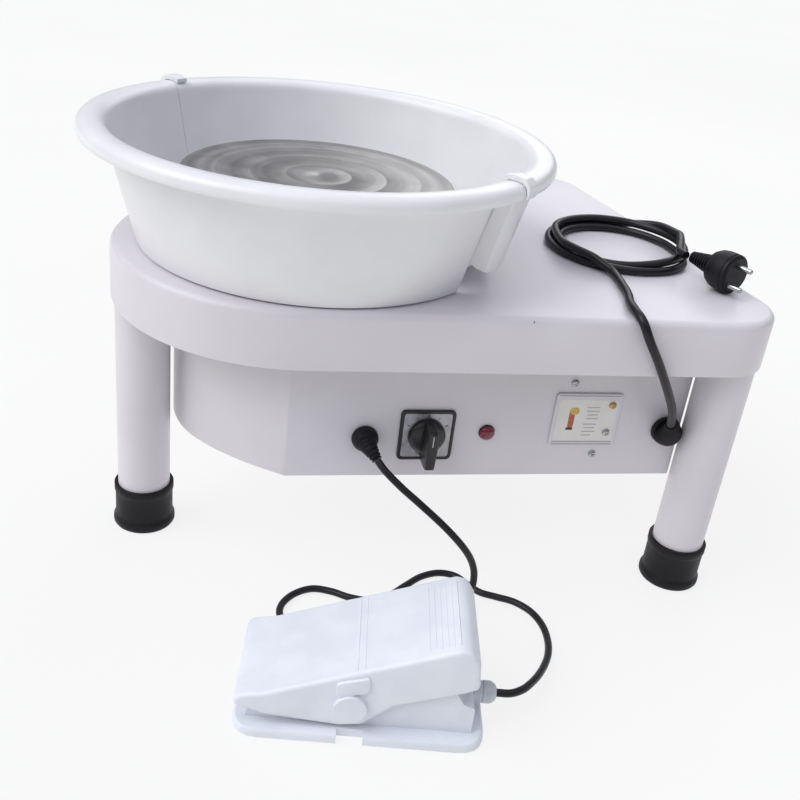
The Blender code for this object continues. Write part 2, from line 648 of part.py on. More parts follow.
def joint_rib(start):
    """The rib under the rim that stiffens a seam of the basin, over an arc that starts at the angle."""
    rings = []
    for share in (0.0, 0.5, 1.0):
        a = start + radians(9.5) * share
        grow = 0.004 * (1 - abs(2 * share - 1))
        section = [(0.1690, 0.0300), (0.1865 + grow, 0.0245), (0.2045 + grow / 3, 0.0968), (0.2045, 0.1030),
                   (0.1908, 0.1030)]
        rings.append([(r * cos(a), r * sin(a), TABLE_TOP + z) for r, z in section])
    return loft(rings)


def rim_clip(machine, name, seam, way):
    """A spring clip over the rim beside a seam."""
    section = [(0.1885, 0.1066), (0.1940, 0.1082), (0.2005, 0.1085), (0.2064, 0.1078), (0.2104, 0.1050),
               (0.2118, 0.1010), (0.2118, 0.0960), (0.2136, 0.0960), (0.2138, 0.1060), (0.2085, 0.1120),
               (0.1980, 0.1135), (0.1885, 0.1115)]
    rings = []
    for share in (0.0, 0.5, 1.0):
        a = seam + way * radians(0.6 + 3.4 * share)
        rings.append([(r * cos(a), r * sin(a), TABLE_TOP + z) for r, z in section])
    return add(name, loft(rings), "basin_plastic", machine)


def make_basin(machine):
    back_way = Vector((cos(SEAM + pi / 2), sin(SEAM + pi / 2), 0))
    for name, start, way in (("basin_back", SEAM, 1), ("basin_front", SEAM + pi, -1)):
        axis = pivot(f"{name}_slide", machine, way * GAP * back_way)
        section = recessed_profile if way > 0 else lambda away: basin_profile()
        half = add(name, half_turned(section, start, 30), "basin_plastic", axis)
        if way > 0:
            boolean(half, "UNION", joint_rib(SEAM + radians(0.15)), "rib_front_union")
            boolean(half, "UNION", joint_rib(SEAM + pi - radians(9.65)), "rib_rear_union")
            rim_clip(axis, "basin_clip_front", SEAM, 1)
            rim_clip(axis, "basin_clip_rear", SEAM + pi, -1)


# ---------------------------------------------------------------- pedal
def pedal_slab(outline, near, far):
    """A solid with an outline in the pedal's side view, between two depths."""
    return loft([[(s, near, z) for s, z in outline], [(s, far, z) for s, z in outline]])


def pedal_cylinder(radius, at, near, far, count):
    s, z = at
    turned = [(s + x, z + y) for x, y in circle(radius, count)]
    return pedal_slab(turned, near, far)


def make_pedal_base(group):
    foot = [(x + 0.0845, y + PEDAL_BACK / 2) for x, y in rounded(0.205, PEDAL_BACK, 0.017, 5)]
    rings = [level(foot, 0.0015), level(foot, 0.0075), level(offset(foot, 0.0020), 0.0095)]
    base = add("pedal_base", loft(rings), "pedal_plastic", group)
    upper = [(-0.008, 0.006), (0.176, 0.006), (0.176, 0.036), (0.1665, 0.0385), (0.158, 0.053),
             (0.060, 0.030), (-0.006, 0.0205)]
    boolean(base, "UNION", pedal_slab(upper, 0.0150, 0.0970), "base_upper_union")
    cavity = [(0.004, -0.010), (0.168, -0.010), (0.168, 0.030), (0.150, 0.044), (0.060, 0.025),
              (0.004, 0.016)]
    boolean(base, "DIFFERENCE", pedal_slab(cavity, 0.0190, 0.0930), "base_cavity_cutter")
    notch = box((0.0215, 0.030, 0.040), (0.0776, -0.006, 0.010))
    boolean(base, "DIFFERENCE", notch, "base_notch_cutter")
    bore = pedal_cylinder(PEDAL_PIN_R + GAP, (PEDAL_PIVOT.x, PEDAL_PIVOT.z), -0.02, 0.14, 16)
    boolean(base, "DIFFERENCE", bore, "base_pin_cutter")
    corners = [(0.006, 0.0135), (0.170, 0.0135), (0.006, 0.0985), (0.170, 0.0985)]
    for number, (s, t) in enumerate(corners, 1):
        pad = lathe([(0, 0), (0.0060, 0), (0.0060, 0.0015 - GAP), (0, 0.0015 - GAP)], 16)
        add(f"pedal_pad_{number}", pad, "black_rubber", group, (s, t, 0))


def make_pedal_inside(group):
    pin = pedal_cylinder(PEDAL_PIN_R, (PEDAL_PIVOT.x, PEDAL_PIVOT.z), 0.0068, 0.1052, 16)
    add("pedal_pin", pin, "bright_steel", group)
    sensor = box((0.026, 0.020, 0.012), (0.110, 0.056, 0.0120))
    add("pedal_sensor", sensor, "black_plastic", group)


def hexagon(across):
    return circle(across / sqrt(3), 6)


def make_pedal_gland(group):
    """A hexagon gland nut with a domed cap, on the pedal's high end."""
    along = Matrix.Rotation(pi / 2, 3, "Y")
    nut = loft([level(hexagon(0.0190), GAP), level(hexagon(0.0190), 0.0080)])
    bmesh.ops.rotate(nut, verts=nut.verts, cent=(0, 0, 0), matrix=along)
    gland = add("pedal_gland", nut, "grey_nylon", group, (0.176, 0.045, 0.0270))
    cap = lathe([(0, 0.0070), (0.0090, 0.0070), (0.0094, 0.0085), (0.0094, 0.0150), (0.0060, 0.0205),
                 (0, 0.0205)], 20)
    bmesh.ops.rotate(cap, verts=cap.verts, cent=(0, 0, 0), matrix=along)
    boolean(gland, "UNION", cap, "gland_cap_union")


def make_treadle(group):
    """The rocking tread: a cap with deep sides that hangs over the base."""
    axis = pivot("pedal_axis", group, PEDAL_PIVOT)
    outer = [(-0.0165, 0.0260), (0.0080, 0.0180), (0.0680, 0.0125), (0.0860, 0.0150), (0.1100, 0.0370),
             (0.1640, 0.0560), (0.1760, 0.0620), (0.1730, 0.0870), (0.1660, 0.0980), (0.1570, 0.1000),
             (0.0060, 0.0400), (-0.0110, 0.0370), (-0.0170, 0.0330)]
    inner = [(-0.0135, -0.0100), (0.1715, -0.0100), (0.1722, 0.0630), (0.1700, 0.0855), (0.1640, 0.0945),
             (0.1575, 0.0968), (0.0065, 0.0368), (-0.0100, 0.0335), (-0.0135, 0.0310)]

    def about_pin(outline):
        return [(s - PEDAL_PIVOT.x, z - PEDAL_PIVOT.z) for s, z in outline]

    tread = add("pedal_treadle", pedal_slab(about_pin(outer), 0.0080, 0.1040), "pedal_plastic", axis)
    boolean(tread, "DIFFERENCE", pedal_slab(about_pin(inner), 0.0110, 0.1010), "treadle_hollow_cutter")
    bosses = (("treadle_boss_front_union", 0.0030, 0.0095), ("treadle_boss_back_union", 0.1025, 0.1090))
    for name, near, far in bosses:
        boolean(tread, "UNION", pedal_cylinder(0.0130, (0, 0), near, far, 24), name)
    bore = pedal_cylinder(PEDAL_PIN_R + GAP, (0, 0), 0.0065, 0.1055, 16)
    boolean(tread, "DIFFERENCE", bore, "treadle_pin_cutter")


def make_pedal(machine):
    group = pivot("pedal", machine, PEDAL_AT, PEDAL_TURN)
    make_pedal_base(group)
    make_pedal_inside(group)
    make_pedal_gland(group)
    make_treadle(group)


def main():
    for old in list(bpy.data.objects):
        bpy.data.objects.remove(old)
    machine = pivot("machine", None, SPINDLE)
    make_table(machine)
    make_case(machine)
    make_legs(machine)
    make_bearings(machine)
    motor_low = make_motor(machine)
    make_belt(machine)
    make_rotor(machine, motor_low)
    make_wheel(machine)
    make_controller(machine)
    make_switch(machine)
    make_lamp(machine)
    make_plate_and_screws(machine)
    make_mains(machine)
    make_boot(machine, "pedal_boot", PEDAL_BOOT, 0.0125, PEDAL_CORD_R + 0.0014)
    cord("pedal_cord", PEDAL_ROUTE, PEDAL_CORD_R, machine, 0.0155)
    make_basin(machine)
    make_pedal(machine)


main()
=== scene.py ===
# Electric pottery wheel: how it looks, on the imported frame. Metres, +Z up.
from math import cos, pi, radians, sin, sqrt, tau

import bmesh
import bpy
from mathutils import Matrix, Vector


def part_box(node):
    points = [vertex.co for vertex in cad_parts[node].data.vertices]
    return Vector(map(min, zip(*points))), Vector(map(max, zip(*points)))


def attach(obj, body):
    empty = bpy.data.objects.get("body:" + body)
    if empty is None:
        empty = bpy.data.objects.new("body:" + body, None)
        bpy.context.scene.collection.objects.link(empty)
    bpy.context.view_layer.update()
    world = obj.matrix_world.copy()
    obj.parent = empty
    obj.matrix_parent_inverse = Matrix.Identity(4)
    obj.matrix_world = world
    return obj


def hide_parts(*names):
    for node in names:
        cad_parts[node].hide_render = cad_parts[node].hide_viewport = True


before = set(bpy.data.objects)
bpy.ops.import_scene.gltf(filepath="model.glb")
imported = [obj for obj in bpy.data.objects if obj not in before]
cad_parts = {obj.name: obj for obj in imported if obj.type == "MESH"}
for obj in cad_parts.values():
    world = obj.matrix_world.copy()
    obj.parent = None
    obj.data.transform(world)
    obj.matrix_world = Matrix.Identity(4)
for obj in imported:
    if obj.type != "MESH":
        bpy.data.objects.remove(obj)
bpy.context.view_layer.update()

scene = bpy.context.scene

# places read from the frame: the spindle's axis, the table's top, the control panel's plane
headLow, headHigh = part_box("wheel_head")
spindle = Vector(((headLow.x + headHigh.x) / 2, (headLow.y + headHigh.y) / 2, 0))
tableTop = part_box("table_casing")[1].z
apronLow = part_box("table_casing")[0].z
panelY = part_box("lower_case")[0].y - spindle.y
underTable = tableTop - 0.0028  # where what stands under the table ends
gap = 0.0003  # clearance between neighbouring pieces


def fromSpindle(x, y, z=0.0):
    return Vector((x, y, z)) + spindle


def middle(node):
    low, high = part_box(node)
    return (low + high) / 2


# the camera stands in front, a little to the left, and looks down on the table
camera = {
    "from": fromSpindle(-0.121936, -0.904955, 0.622996),
    "right": Vector((0.97709778, -0.18215592, 0.10999614)),
    "up": Vector((-0.01013524, 0.47649566, 0.8791184)),
    "lens": 45.55,  # mm on a 36 mm sensor
}
lens = bpy.data.cameras.new("camera")
lens.lens = camera["lens"]
lens.clip_start, lens.clip_end = 0.02, 60
cameraObject = bpy.data.objects.new("camera", lens)
scene.collection.objects.link(cameraObject)
axes = (camera["right"], camera["up"], camera["right"].cross(camera["up"]))
cameraObject.matrix_world = Matrix.Translation(camera["from"]) @ Matrix(axes).transposed().to_4x4()
scene.camera = cameraObject
print("camera stands")


def linear(hexColour):  # sRGB hex to the linear colour that a socket takes
    parts = [int(hexColour[i:i + 2], 16) / 255 for i in (1, 3, 5)]
    return (*[p / 12.92 if p <= 0.04045 else ((p + 0.055) / 1.055) ** 2.4 for p in parts], 1.0)


def addNode(tree, kind, settings, links):  # one node, its settings and what feeds it
    made = tree.nodes.new("ShaderNode" + kind)
    for key, value in settings.items():
        if isinstance(key, int) or key in made.inputs:
            made.inputs[key].default_value = value
        else:
            setattr(made, key, value)
    for socket, source in links.items():
        tree.links.new(source, made.inputs[socket])
    return made


def perMetre(millimetres):  # texture scale for features of that size
    return 1000 / millimetres


def startFinish(name, fixed):  # a new material with its shader's fixed values, and where its patterns sit
    material = bpy.data.materials.new(name)
    material.use_nodes = True
    tree = material.node_tree
    for socket, value in fixed.items():
        tree.nodes["Principled BSDF"].inputs[socket].default_value = value
    return material, tree, addNode(tree, "TexCoord", {}, {}).outputs["Object"]


# tone and gloss follow one pattern between the two ends of its useful range, and the relief follows another
def dress(tree, facts, pattern, toneEnds, glossEnds, grain, depth):
    tone = addNode(tree, "ValToRGB", {}, {"Fac": pattern})
    for element, position, colour in zip(tone.color_ramp.elements, toneEnds, facts["colours"]):
        element.position = position
        element.color = linear(colour)
    low, high = facts["gloss"]
    rough = addNode(tree, "MapRange", {"From Min": glossEnds[0], "From Max": glossEnds[1],
                                       "To Min": low, "To Max": high}, {"Value": pattern})
    relief = addNode(tree, "Bump", {"Strength": facts["relief"], "Distance": depth}, {"Height": grain})
    sockets = tree.nodes["Principled BSDF"].inputs
    tree.links.new(tone.outputs["Color"], sockets["Base Color"])
    tree.links.new(rough.outputs["Result"], sockets["Roughness"])
    tree.links.new(relief.outputs["Normal"], sockets["Normal"])


# a finish whose tone and gloss drift in soft patches, with a fine grain in relief
def makeFinish(name, facts):
    material, tree, place = startFinish(name, facts["shader"])
    drift = addNode(tree, "TexNoise", {"Scale": perMetre(facts["patchMm"]), "Detail": 3.0}, {"Vector": place})
    fine = addNode(tree, "TexNoise", {"Scale": perMetre(facts["grainMm"]), "Detail": 2.0}, {"Vector": place})
    dress(tree, facts, drift.outputs["Fac"], (0.36, 0.64), (0.3, 0.7), fine.outputs["Fac"],
          facts["grainMm"] / 4000)
    return material


# turned metal: tone, gloss and relief all follow the distance from the piece's own axis; the tone's rings are
# painted sheen, lighter and darker streaks by radius, mixed with stains
def makeTurned(name, facts):
    material, tree, place = startFinish(name, facts["shader"])
    flat = addNode(tree, "VectorMath", {"operation": "MULTIPLY", 1: (1, 1, 0)}, {0: place})
    out = addNode(tree, "VectorMath", {"operation": "LENGTH"}, {0: flat.outputs["Vector"]}).outputs["Value"]
    # painted sheen: rings of lighter and darker tone by radius stand for the light caught along the turning
    sheenBands = addNode(tree, "TexNoise", {"noise_dimensions": "1D", "Scale": perMetre(facts["sheenBandMm"]),
                                       "Detail": 4.0}, {"W": out})
    cuts = addNode(tree, "TexNoise", {"noise_dimensions": "1D", "Scale": perMetre(facts["cutMm"]),
                                      "Detail": 2.0}, {"W": out})
    stain = addNode(tree, "TexNoise", {"Scale": perMetre(facts["stainMm"]), "Detail": 4.0}, {"Vector": place})
    half = addNode(tree, "Math", {"operation": "MULTIPLY", 1: 0.5}, {0: stain.outputs["Fac"]})
    sheenAndStain = addNode(tree, "Math", {"operation": "MULTIPLY_ADD", 1: 0.5},
                   {0: sheenBands.outputs["Fac"], 2: half.outputs["Value"]})
    dress(tree, facts, sheenAndStain.outputs["Value"], (0.38, 0.62), (0.35, 0.65), cuts.outputs["Fac"],
          facts["cutMm"] / 5000)
    return material


# powder-coated steel sheet: an even satin white-grey with a faint orange-peel; the real peel is about 1 mm,
# drawn at 2.5 mm so that it shows
powderCoat = makeFinish("powder coated steel", {
    "shader": {"IOR": 1.5, "Coat Weight": 0.12, "Coat Roughness": 0.25},
    "colours": ("#D7D3D8", "#DCD9DE"), "patchMm": 90, "gloss": (0.34, 0.44), "grainMm": 2.5, "relief": 0.10})
# injection-moulded ABS, polished tool: milky white, soft gloss and slow waves where it shrank
basinPlastic = makeFinish("moulded white ABS", {
    "shader": {"IOR": 1.53},
    "colours": ("#E8E8EA", "#EDEDEF"), "patchMm": 60, "gloss": (0.28, 0.36), "grainMm": 6, "relief": 0.08})
# injection-moulded ABS, spark-eroded tool: a cool white with a dull, finely pitted skin; pits are 0.3 mm in
# truth and 1 mm here
pedalPlastic = makeFinish("moulded cool white ABS", {
    "shader": {"IOR": 1.53},
    "colours": ("#DFE3EC", "#E6E9F1"), "patchMm": 30, "gloss": (0.40, 0.50), "grainMm": 1.0, "relief": 0.12})
# turned cast aluminium: grey rings of painted sheen, lighter and darker streaks by radius; the cuts are 0.2
# mm and drawn at 1.6 mm
turnedAluminium = makeTurned("turned aluminium", {
    "shader": {"Metallic": 1.0, "Anisotropic": 0.5},
    "colours": ("#8F8D8C", "#B3B1B0"), "sheenBandMm": 14, "cutMm": 1.6, "stainMm": 34, "gloss": (0.30, 0.42),
    "relief": 0.10})
# zinc-plated steel: bright and slightly blue, with small cloudy spangles
zincSteel = makeFinish("zinc plated steel", {
    "shader": {"Metallic": 1.0},
    "colours": ("#A6A8AC", "#C4C5C8"), "patchMm": 2.5, "gloss": (0.20, 0.34), "grainMm": 0.8, "relief": 0.10})
# brass, nickel lost: a yellowish screw head
dullBrass = makeFinish("dull brass", {
    "shader": {"Metallic": 1.0},
    "colours": ("#B08B4E", "#D2B476"), "patchMm": 2.0, "gloss": (0.28, 0.40), "grainMm": 0.8, "relief": 0.10})
# moulded rubber: near black, dull, with a dusty bloom in patches
blackRubber = makeFinish("moulded black rubber", {
    "shader": {"IOR": 1.5, "Specular IOR Level": 0.25},
    "colours": ("#100E13", "#19171D"), "patchMm": 9, "gloss": (0.42, 0.58), "grainMm": 1.2, "relief": 0.25})
# extruded PVC sheath: black with a soft sheen along its length and small scuffs
cordSheath = makeFinish("extruded black PVC", {
    "shader": {"IOR": 1.53, "Specular IOR Level": 0.35},
    "colours": ("#0E0D12", "#17151B"), "patchMm": 12, "gloss": (0.30, 0.42), "grainMm": 2.0, "relief": 0.15})
# moulded black ABS: satin, slightly brown-black
blackAbs = makeFinish("moulded black ABS", {
    "shader": {"IOR": 1.53},
    "colours": ("#110F13", "#19171B"), "patchMm": 8, "gloss": (0.28, 0.38), "grainMm": 1.0, "relief": 0.12})
# nylon: pale grey, waxy
greyNylon = makeFinish("moulded grey nylon", {
    "shader": {"IOR": 1.53},
    "colours": ("#B9BEC7", "#C5CAD2"), "patchMm": 7, "gloss": (0.36, 0.46), "grainMm": 1.0, "relief": 0.12})
# brushed stainless sheet: silver with fine scratches, drawn as drifting tone
brushedSteel = makeFinish("brushed stainless sheet", {
    "shader": {"Metallic": 0.85, "Anisotropic": 0.6},
    "colours": ("#97959B", "#AEADB2"), "patchMm": 6, "gloss": (0.30, 0.42), "grainMm": 1.2, "relief": 0.10})
# moulded acrylic lens: deep red with a glossy skin
redAcrylic = makeFinish("moulded red acrylic", {
    "shader": {"IOR": 1.49, "Coat Weight": 0.5, "Coat Roughness": 0.08},
    "colours": ("#6E0F2B", "#861636"), "patchMm": 4, "gloss": (0.16, 0.24), "grainMm": 1.5, "relief": 0.08})
# stoved enamel on castings: charcoal with a pebbled skin
castEnamel = makeFinish("stoved charcoal enamel", {
    "shader": {"IOR": 1.5},
    "colours": ("#33363B", "#3F4248"), "patchMm": 14, "gloss": (0.42, 0.55), "grainMm": 2.2, "relief": 0.35})
# epoxy board under solder mask: green, glossy, faint weave
solderMask = makeFinish("green solder mask", {
    "shader": {"IOR": 1.55, "Coat Weight": 0.3},
    "colours": ("#1C6B3C", "#24804A"), "patchMm": 5, "gloss": (0.30, 0.40), "grainMm": 1.5, "relief": 0.20})
# printed polyester label: warm white and smooth
labelFilm = makeFinish("printed polyester film", {
    "shader": {"IOR": 1.5},
    "colours": ("#E2DFDB", "#E8E6E3"), "patchMm": 18, "gloss": (0.30, 0.38), "grainMm": 3.0, "relief": 0.05})


def makeInk(name, colours):  # screen ink: flat colour that dulls a little where it is thin
    return makeFinish(name, {"shader": {"IOR": 1.5}, "colours": colours, "patchMm": 3, "gloss": (0.4, 0.5),
                             "grainMm": 1.0, "relief": 0.05})


inkRed = makeInk("red screen ink", ("#A8563A", "#B96A48"))
inkYellow = makeInk("yellow screen ink", ("#C9A548", "#D8BC6C"))
inkGrey = makeInk("grey screen ink", ("#A9A9AE", "#B6B6BA"))
inkBlack = makeInk("black screen ink", ("#2A2528", "#383236"))
print("materials mixed")


def loft(rings, around=False):  # a skin through rings of points; around joins the last to the first
    bm = bmesh.new()
    made = [[bm.verts.new(point) for point in ring] for ring in rings]
    pairs = list(zip(made, made[1:])) + ([(made[-1], made[0])] if around else [])
    for first, second in pairs:
        for i in range(len(first)):
            j = (i + 1) % len(first)
            bm.faces.new((first[i], first[j], second[j], second[i]))
    if not around:
        bm.faces.new(made[0])
        bm.faces.new(made[-1])
    return bm


def level(outline, z):
    return [(x, y, z) for x, y in outline]


def scaled(outline, share):
    return [(x * share, y * share) for x, y in outline]


def prism(outline, low, high):
    return loft([level(outline, low), level(outline, high)])


def arcPoints(centre, radius, start, end, count):
    turns = [start + (end - start) * i / count for i in range(count + 1)]
    return [(centre[0] + radius * cos(a), centre[1] + radius * sin(a)) for a in turns]


def ringPoints(radius, count, centre=(0, 0)):
    return arcPoints(centre, radius, 0, tau, count)[:-1]


def turned(profile, count=64):  # a full turn about Z of (radius, height) points
    rings = [level(ringPoints(max(r, 0.00002), count), z) for r, z in profile]
    closed = profile[0][0] > 0 and profile[-1][0] > 0
    return loft(rings, around=closed)


def filleted(outline, radius, steps=4, closed=True):  # every corner rounded, by up to radius
    points = [Vector(p) for p in outline]
    made = []
    for i, here in enumerate(points):
        if not closed and i in (0, len(points) - 1):
            made.append(tuple(here))
            continue
        before, after = points[i - 1], points[(i + 1) % len(points)]
        reach = min(radius, (before - here).length * 0.45, (after - here).length * 0.45)
        start = here + (before - here).normalized() * reach
        end = here + (after - here).normalized() * reach
        for k in range(steps + 1):
            t = k / steps
            made.append(tuple(start * (1 - t) ** 2 + here * 2 * t * (1 - t) + end * t * t))
    return made


def roundedBox(width, height, radius):  # outline about the origin, anticlockwise
    x, y = width / 2, height / 2
    return filleted([(x, -y), (x, y), (-x, y), (-x, -y)], radius * 1.3, 5)


def smoothLine(points, spacing):  # evenly spaced points on one smooth curve through the route
    route = [Vector(p) for p in points]
    ends = [2 * route[0] - route[1]] + route + [2 * route[-1] - route[-2]]
    fine = []
    for a, b, c, d in zip(ends, ends[1:], ends[2:], ends[3:]):
        for i in range(16):
            t = i / 16
            fine.append(0.5 * (2 * b + (c - a) * t + (2 * a - 5 * b + 4 * c - d) * t * t
                               + (3 * b - a - 3 * c + d) * t ** 3))
    fine.append(route[-1])
    total = lineLength(fine)
    count = max(2, round(total / spacing))
    line, travelled, k = [fine[0]], 0.0, 1
    for p, q in zip(fine, fine[1:]):
        step = (q - p).length
        while k < count and travelled + step >= total * k / count:
            line.append(p.lerp(q, (total * k / count - travelled) / step))
            k += 1
        travelled += step
    return line + [fine[-1]]


def lineLength(line):
    return sum((q - p).length for p, q in zip(line, line[1:]))


def sweptBar(line, radii, count):  # a round bar along a line, with a radius at each point
    rings = []
    for i, point in enumerate(line):
        along = (line[min(i + 1, len(line) - 1)] - line[max(i - 1, 0)]).normalized()
        across = along.cross(Vector((0, 0, 1))).normalized()
        over = across.cross(along)
        turns = [tau * k / count for k in range(count)]
        rings.append([point + radii[i] * (cos(a) * across + sin(a) * over) for a in turns])
    return loft(rings)


def lay(bm, turn, axis, move=(0, 0, 0)):  # turns a shape about its origin, then moves it
    bmesh.ops.rotate(bm, verts=bm.verts, cent=(0, 0, 0), matrix=Matrix.Rotation(turn, 3, axis))
    bmesh.ops.translate(bm, verts=bm.verts, vec=move)
    return bm


def merge(*shapes):  # several shapes as one mesh
    whole = bmesh.new()
    for bm in shapes:
        part = bpy.data.meshes.new("part")
        bm.to_mesh(part)
        bm.free()
        whole.from_mesh(part)
        bpy.data.meshes.remove(part)
    return whole


# makes a shape into a named piece; edges sharper than that many degrees stay crisp
def form(name, bm, material, at=None, turn=0.0, sharp=38, bevel=0.0):
    bmesh.ops.remove_doubles(bm, verts=bm.verts, dist=1e-6)
    bmesh.ops.recalc_face_normals(bm, faces=bm.faces)
    mesh = bpy.data.meshes.new(name)
    bm.to_mesh(mesh)
    bm.free()
    mesh.shade_smooth()
    mesh.set_sharp_from_angle(angle=radians(sharp))
    mesh.materials.append(material)
    piece = bpy.data.objects.new(name, mesh)
    scene.collection.objects.link(piece)
    piece.location = spindle if at is None else at
    piece.rotation_euler.z = turn
    if bevel:
        soften = piece.modifiers.new("soft edges", "BEVEL")
        soften.width = bevel
        soften.segments = 3
        soften.limit_method = "ANGLE"
        soften.angle_limit = radians(30)
    return piece


def carve(piece, bm, operation="DIFFERENCE"):  # cuts a shape out of a piece for good, or joins it on
    bmesh.ops.recalc_face_normals(bm, faces=bm.faces)
    mesh = bpy.data.meshes.new("tool")
    bm.to_mesh(mesh)
    bm.free()
    tool = bpy.data.objects.new("tool", mesh)
    scene.collection.objects.link(tool)
    tool.location, tool.rotation_euler = piece.location, piece.rotation_euler
    step = piece.modifiers.new("carve", "BOOLEAN")
    step.operation, step.object, step.solver = operation, tool, "EXACT"
    bpy.context.view_layer.update()
    made = bpy.data.meshes.new_from_object(piece.evaluated_get(bpy.context.evaluated_depsgraph_get()))
    piece.modifiers.clear()
    piece.data = made
    made.shade_smooth()
    made.set_sharp_from_angle(angle=radians(32))
    bpy.data.objects.remove(tool)
    return piece


def settle(piece, body, slot, *nodes):  # the piece rides on its body and stands for its CAD nodes
    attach(piece, body)
    if nodes:
        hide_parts(*nodes)
    return piece


# the two leads; each route runs from its exit, in metres from the spindle
mainsLead = {
    "diameter": 0.0080,
    "route": [(0.3300, -0.1429, 0.1886), (0.3252, -0.1498, 0.1990), (0.3160, -0.1600, 0.2170),
              (0.3001, -0.1705, 0.2420), (0.2836, -0.1770, 0.2680), (0.2695, -0.1787, 0.2895),
              (0.2612, -0.1730, 0.3060), (0.2596, -0.1560, 0.3099), (0.2630, -0.1380, 0.3087),
              (0.2690, -0.1180, 0.3085), (0.2728, -0.0950, 0.3085)],
    "coilAt": middle("mains_cord_coil") - spindle,
    # degrees round the coil, radius and height above the table along three turns
    "turns": [(246, 0.0850, 0.0050), (238, 0.0775, 0.0085), (228, 0.0740, 0.0122), (212, 0.0700, 0.0127),
              (190, 0.0665, 0.0122), *[(a, 0.0655, 0.0120) for a in (150, 120, 90, 60, 30)],
              (0, 0.0655, 0.0122), (-30, 0.0655, 0.0122), (-55, 0.0650, 0.0118), (-80, 0.0640, 0.0095),
              (-105, 0.0615, 0.0060), (-130, 0.0600, 0.0045),
              *[(a, 0.0598, 0.0043) for a in range(-160, -341, -30)],
              (-365, 0.0605, 0.0043), (-385, 0.0645, 0.0043), (-405, 0.0690, 0.0043),
              *[(a, 0.0703, 0.0043) for a in range(-430, -581, -30)],
              (-610, 0.0703, 0.0044), (-640, 0.0700, 0.0060), (-665, 0.0695, 0.0110), (-688, 0.0690, 0.0165)],
    "toPlug": [(0.3745, 0.0170, 0.3232), (0.3700, 0.0010, 0.3255), (0.3630, -0.0160, 0.3250),
               (0.3560, -0.0300, 0.3242), (0.3520, -0.0400, 0.3237), (0.3533, -0.0500, 0.3235)],
}
pedalLead = {
    "diameter": 0.0068,
    "route": [(0.0530, -0.1427, 0.1494), (0.0600, -0.1505, 0.1425), (0.0750, -0.1600, 0.1305),
              (0.0900, -0.1660, 0.1190), (0.1165, -0.1725, 0.0960), (0.1380, -0.1745, 0.0720),
              (0.1490, -0.1735, 0.0520), (0.1515, -0.1750, 0.0340), (0.1470, -0.1785, 0.0170),
              (0.1350, -0.1840, 0.0068), (0.1150, -0.1920, 0.0040), (0.0800, -0.1985, 0.0038),
              (0.0400, -0.2005, 0.0038), (0.0080, -0.1995, 0.0038), (-0.0150, -0.1935, 0.0038),
              (-0.0290, -0.1790, 0.0038), (-0.0270, -0.1620, 0.0038), (-0.0140, -0.1470, 0.0038),
              (0.0040, -0.1400, 0.0038), (0.0220, -0.1450, 0.0038), (0.0390, -0.1550, 0.0038),
              (0.0580, -0.1600, 0.0038), (0.0780, -0.1530, 0.0038), (0.0960, -0.1395, 0.0038),
              (0.1140, -0.1265, 0.0038), (0.1330, -0.1212, 0.0038), (0.1490, -0.1265, 0.0038),
              (0.1585, -0.1400, 0.0038), (0.1680, -0.1530, 0.0038), (0.1820, -0.1605, 0.0038),
              (0.1990, -0.1695, 0.0038), (0.2115, -0.1850, 0.0038), (0.2165, -0.2050, 0.0040),
              (0.2145, -0.2270, 0.0052), (0.2075, -0.2480, 0.0085), (0.1970, -0.2670, 0.0128),
              (0.1850, -0.2840, 0.0176), (0.1735, -0.2970, 0.0216), (0.1625, -0.3068, 0.0246),
              (0.1500, -0.3122, 0.0265), (0.1380, -0.3110, 0.0270)],
}


def coilPoints(facts):
    around = facts["coilAt"]
    return [(around.x + r * cos(radians(a)), around.y + r * sin(radians(a)), tableTop + z)
            for a, r, z in facts["turns"]]


def makeLead(name, points, diameter):
    line = smoothLine([fromSpindle(*p) for p in points], 0.003)
    data = bpy.data.curves.new(name, "CURVE")
    data.dimensions = "3D"
    data.bevel_depth = diameter / 2
    data.bevel_resolution = 5
    data.use_fill_caps = True
    spline = data.splines.new("POLY")
    spline.points.add(len(line) - 1)
    for vertex, point in zip(spline.points, line):
        vertex.co = (*point, 1.0)
    data.materials.append(cordSheath)
    lead = bpy.data.objects.new(name, data)
    scene.collection.objects.link(lead)
    return lead, line


mainsPoints = mainsLead["route"] + coilPoints(mainsLead) + mainsLead["toPlug"]
mains, mainsLine = makeLead("mains_lead", mainsPoints, mainsLead["diameter"])
settle(mains, "machine", "black_rubber", "mains_cord", "mains_cord_coil")
pedalCord, pedalLine = makeLead("pedal_lead", pedalLead["route"], pedalLead["diameter"])
settle(pedalCord, "machine", "black_rubber", "pedal_cord")

# moulded plug: ribbed tail, neck and round body along +X, laid and turned as the CAD one is
plug = {
    "turn": radians(-65), "tail": -0.0400, "ribs": 7, "ribPitch": 0.0032,
    "pin": [(0.0, -0.0094), (0.0024, -0.0094), (0.0024, 0.0070), (0.0021, 0.0086), (0.0012, 0.0094),
            (0.0, 0.0095)],
    "body": [(0.0112, -0.0160), (0.0150, -0.0135), (0.0178, -0.0085), (0.0188, -0.0030), (0.0190, 0.0000),
             (0.0190, 0.0062), (0.0184, 0.0066), (0.0184, 0.0074), (0.0190, 0.0078), (0.0186, 0.0098),
             (0.0172, 0.0108), (0.0166, 0.0106), (0.0156, 0.0125), (0.0, 0.0125)],
}


def plugProfile(facts):
    points = [(0.0, facts["tail"]), (0.0052, facts["tail"])]
    for k in range(facts["ribs"]):
        x = facts["tail"] + 0.0006 + k * facts["ribPitch"]
        wide = 0.0056 + 0.0042 * k / facts["ribs"]
        points += [(wide, x), (wide + 0.0002, x + 0.0018), (wide - 0.0016, x + 0.0020),
                   (wide - 0.0016, x + 0.0030)]
    return points + facts["body"]


